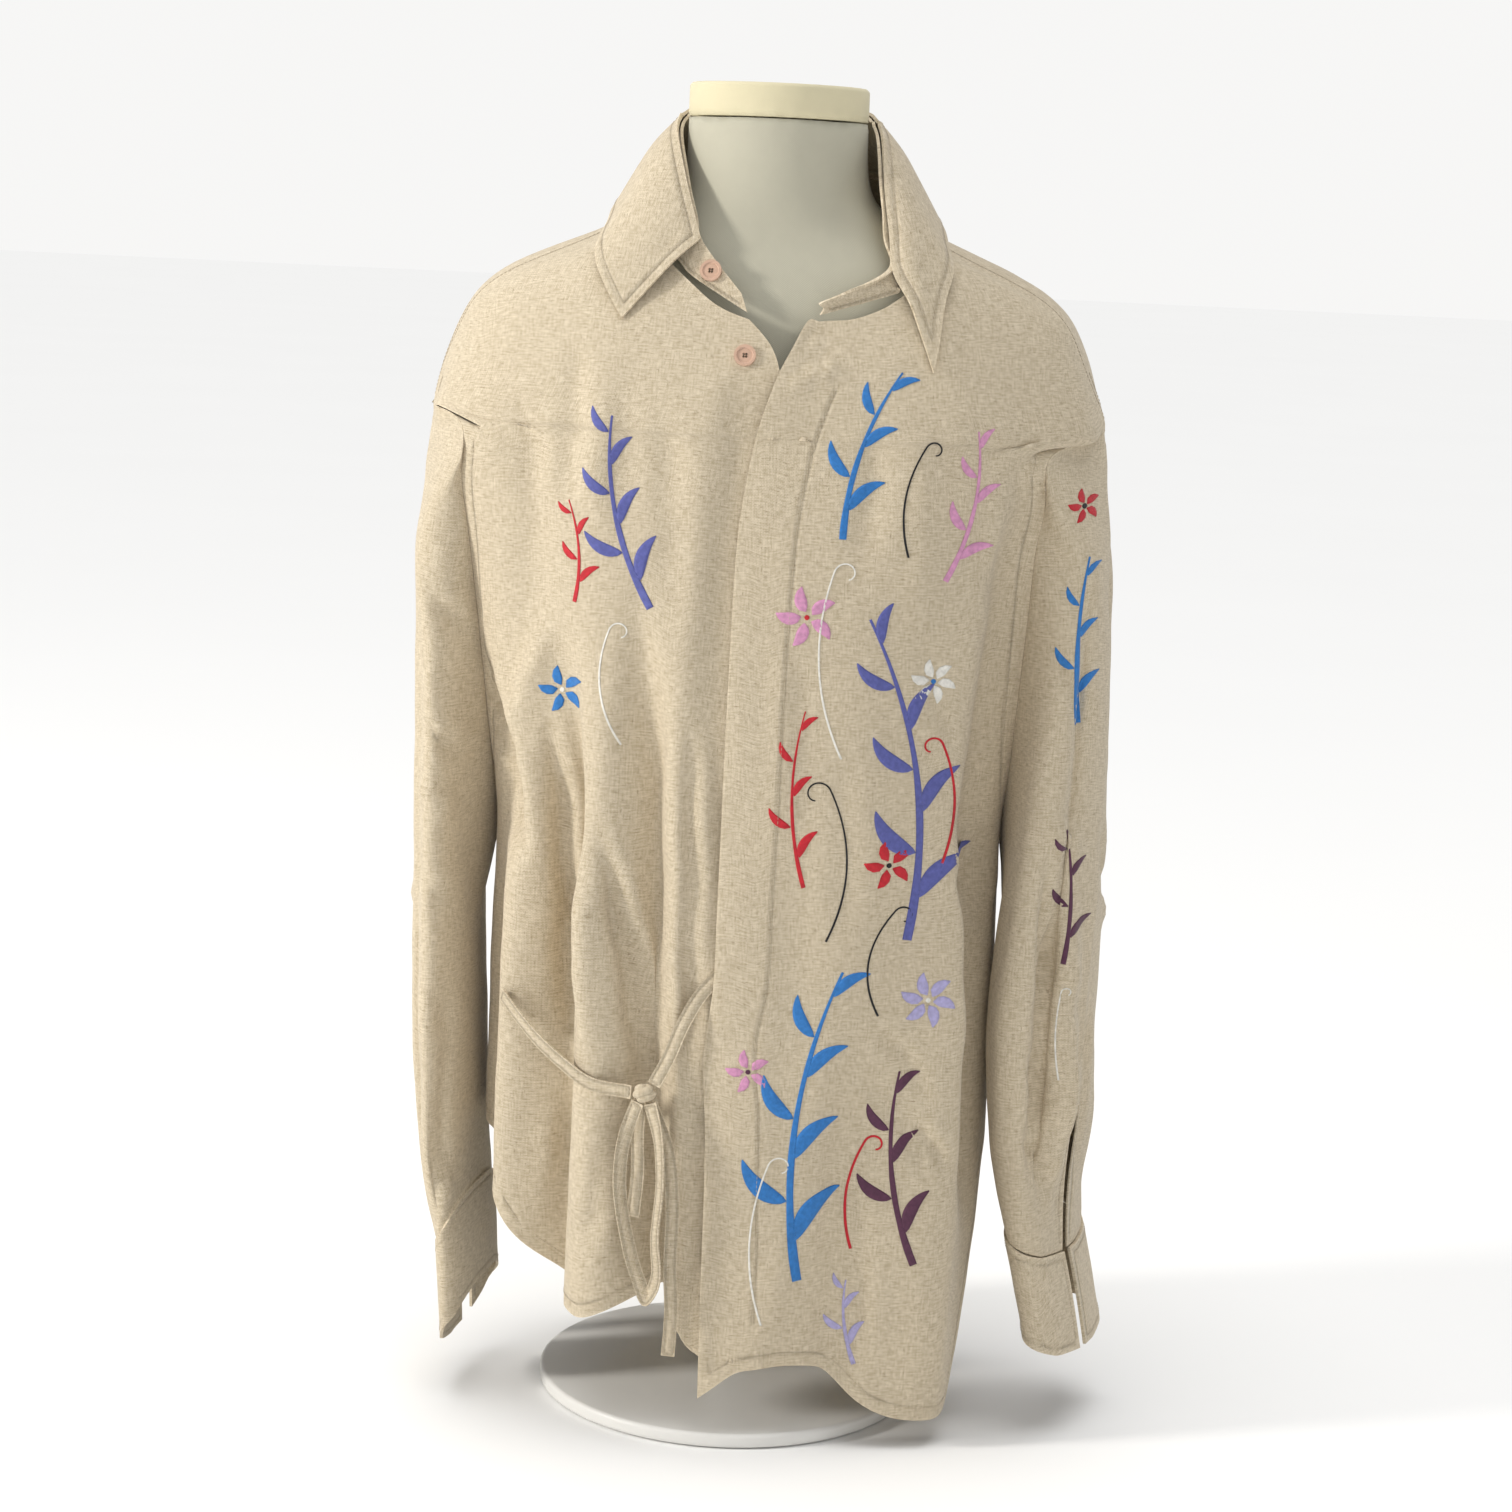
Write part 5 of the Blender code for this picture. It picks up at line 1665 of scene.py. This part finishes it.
class SHIRT_OT_buttons(bpy.types.Operator):
    """Finishes the buttons and threads them"""

    bl_idname = "shirt.buttons"
    bl_label = "Buttons"

    def execute(self, context):
        finish_buttons()
        return {"FINISHED"}


class SHIRT_OT_motifs(bpy.types.Operator):
    """Embroiders sprigs, flowers and tendrils on the front and sleeve"""

    bl_idname = "shirt.motifs"
    bl_label = "Embroidered Motifs"

    def execute(self, context):
        sew_motifs()
        return {"FINISHED"}


# The camera's place in degrees, metres and millimetres
CAMERA_AZIMUTH = 3.0
CAMERA_PITCH = 10.0
CAMERA_ROLL = 2.6
CAMERA_DISTANCE = 2.1
CAMERA_HEIGHT = 0.816
CAMERA_ASIDE = 0.0027
CAMERA_LENS = 74.5
SENSOR_WIDTH = 36.0
FLOOR_SIZE = 60.0
FLOOR_DROP = 0.0006
FLOOR_COLOURS = ((0.91, 0.91, 0.905), (0.93, 0.93, 0.925))

# Soft studio light
SKY_LIGHT = 0.34
SKY_SEEN = 0.93
SKY_COLOUR = (1.0, 0.995, 0.985)
SUN_POWER = 2.1
SUN_SPREAD = 50.0
LIGHTS = (
    ("key", (-2.7, -1.0, 1.4), 0.45, 60.0, (1.0, 0.968, 0.915)),
    ("front", (0.9, -2.8, 1.2), 1.4, 8.0, (1.0, 0.99, 0.97)),
)


AIM = (0.0, 0.0, 0.45)


def add_light(name, place, target, size, energy, colour):
    data = bpy.data.lights.new(name, "AREA")
    data.shape = "DISK"
    data.size = size
    data.energy = energy
    data.color = colour
    obj = bpy.data.objects.new(name, data)
    bpy.context.scene.collection.objects.link(obj)
    obj.location = place
    obj.rotation_euler = (Vector(target) - Vector(place)).to_track_quat("-Z", "Y").to_euler()


def add_floor():
    deselect()
    bpy.ops.mesh.primitive_plane_add(size=FLOOR_SIZE, location=(0.0, 0.0, -FLOOR_DROP))
    floor = bpy.context.object
    floor.name = "floor"
    made, wire, shader = new_material("pale_floor", 0.9)
    tone = soft_tone(wire, 1.2)["Tone"]
    wire.put(shader["Base Color"], wire.mix(tone, *(rgba(colour) for colour in FLOOR_COLOURS)))
    dress(floor, made)


def light_sky(scene):
    """A pale sky that looks brighter than it lights."""
    world = scene.world or bpy.data.worlds.new("studio")
    scene.world = world
    world.use_nodes = True
    wire = Wiring(world.node_tree)
    sky = world.node_tree.nodes["Background"]
    sky.inputs["Color"].default_value = rgba(SKY_COLOUR)
    seen = wire.node("ShaderNodeLightPath").outputs["Is Camera Ray"]
    wire.put(sky.inputs["Strength"], wire.eased(seen, SKY_SEEN - SKY_LIGHT, SKY_LIGHT))
    scene.view_settings.view_transform = "Standard"


def add_sun(scene):
    overhead = bpy.data.lights.new("overhead", "SUN")
    overhead.energy = SUN_POWER
    overhead.angle = math.radians(SUN_SPREAD)
    scene.collection.objects.link(bpy.data.objects.new("overhead", overhead))


def add_camera(scene):
    azimuth, pitch, roll = (math.radians(a) for a in (CAMERA_AZIMUTH, CAMERA_PITCH, CAMERA_ROLL))
    back = Vector((math.sin(azimuth), -math.cos(azimuth), 0.0))
    level = Vector((math.cos(azimuth), math.sin(azimuth), 0.0))
    upward = Vector((0.0, 0.0, 1.0))
    look = -back * math.cos(pitch) - upward * math.sin(pitch)
    top = -back * math.sin(pitch) + upward * math.cos(pitch)
    right = level * math.cos(roll) + top * math.sin(roll)
    top = top * math.cos(roll) - level * math.sin(roll)
    place = back * CAMERA_DISTANCE + upward * CAMERA_HEIGHT + level * CAMERA_ASIDE
    data = bpy.data.cameras.new("camera")
    data.lens = CAMERA_LENS
    data.sensor_width = SENSOR_WIDTH
    camera = bpy.data.objects.new("camera", data)
    scene.collection.objects.link(camera)
    turn = Matrix((right, top, -look)).transposed().to_4x4()
    camera.matrix_world = Matrix.Translation(place) @ turn
    scene.camera = camera


class SHIRT_OT_stage(bpy.types.Operator):
    """Adds the pale floor, the soft lights and the camera"""

    bl_idname = "shirt.stage"
    bl_label = "Stage"

    def execute(self, context):
        add_floor()
        light_sky(context.scene)
        for name, place, size, energy, colour in LIGHTS:
            add_light(name, place, AIM, size, energy, colour)
        add_sun(context.scene)
        add_camera(context.scene)
        return {"FINISHED"}


OPERATORS = (
    SHIRT_OT_stage,
    SHIRT_OT_form,
    SHIRT_OT_foot,
    SHIRT_OT_body,
    SHIRT_OT_sleeves,
    SHIRT_OT_collar,
    SHIRT_OT_tie,
    SHIRT_OT_buttons,
    SHIRT_OT_motifs,
)


class SHIRT_PT_panel(bpy.types.Panel):
    """Lists the shirt's sizes, colours and makers"""

    bl_idname = "SHIRT_PT_panel"
    bl_label = "Linen Shirt"
    bl_space_type = "VIEW_3D"
    bl_region_type = "UI"
    bl_category = "Shirt"

    def draw(self, context):
        for group in (context.scene.shirt_sizes, context.scene.shirt_colours):
            for name in group.bl_rna.properties.keys():
                if name not in ("rna_type", "name"):
                    self.layout.prop(group, name)
        for operator in OPERATORS:
            self.layout.operator(operator.bl_idname)


CLASSES = (ShirtSizes, ShirtColours) + OPERATORS + (SHIRT_PT_panel,)


def register():
    for cls in CLASSES:
        bpy.utils.register_class(cls)
    bpy.types.Scene.shirt_sizes = bpy.props.PointerProperty(type=ShirtSizes)
    bpy.types.Scene.shirt_colours = bpy.props.PointerProperty(type=ShirtColours)


def unregister():
    del bpy.types.Scene.shirt_colours
    del bpy.types.Scene.shirt_sizes
    for cls in reversed(CLASSES):
        bpy.utils.unregister_class(cls)


def main():
    register()
    bpy.ops.shirt.stage()
    bpy.ops.shirt.form()
    bpy.ops.shirt.foot()
    bpy.ops.shirt.body()
    bpy.ops.shirt.sleeves()
    bpy.ops.shirt.collar()
    bpy.ops.shirt.tie()
    bpy.ops.shirt.buttons()
    bpy.ops.shirt.motifs()


if __name__ == "__main__":
    main()
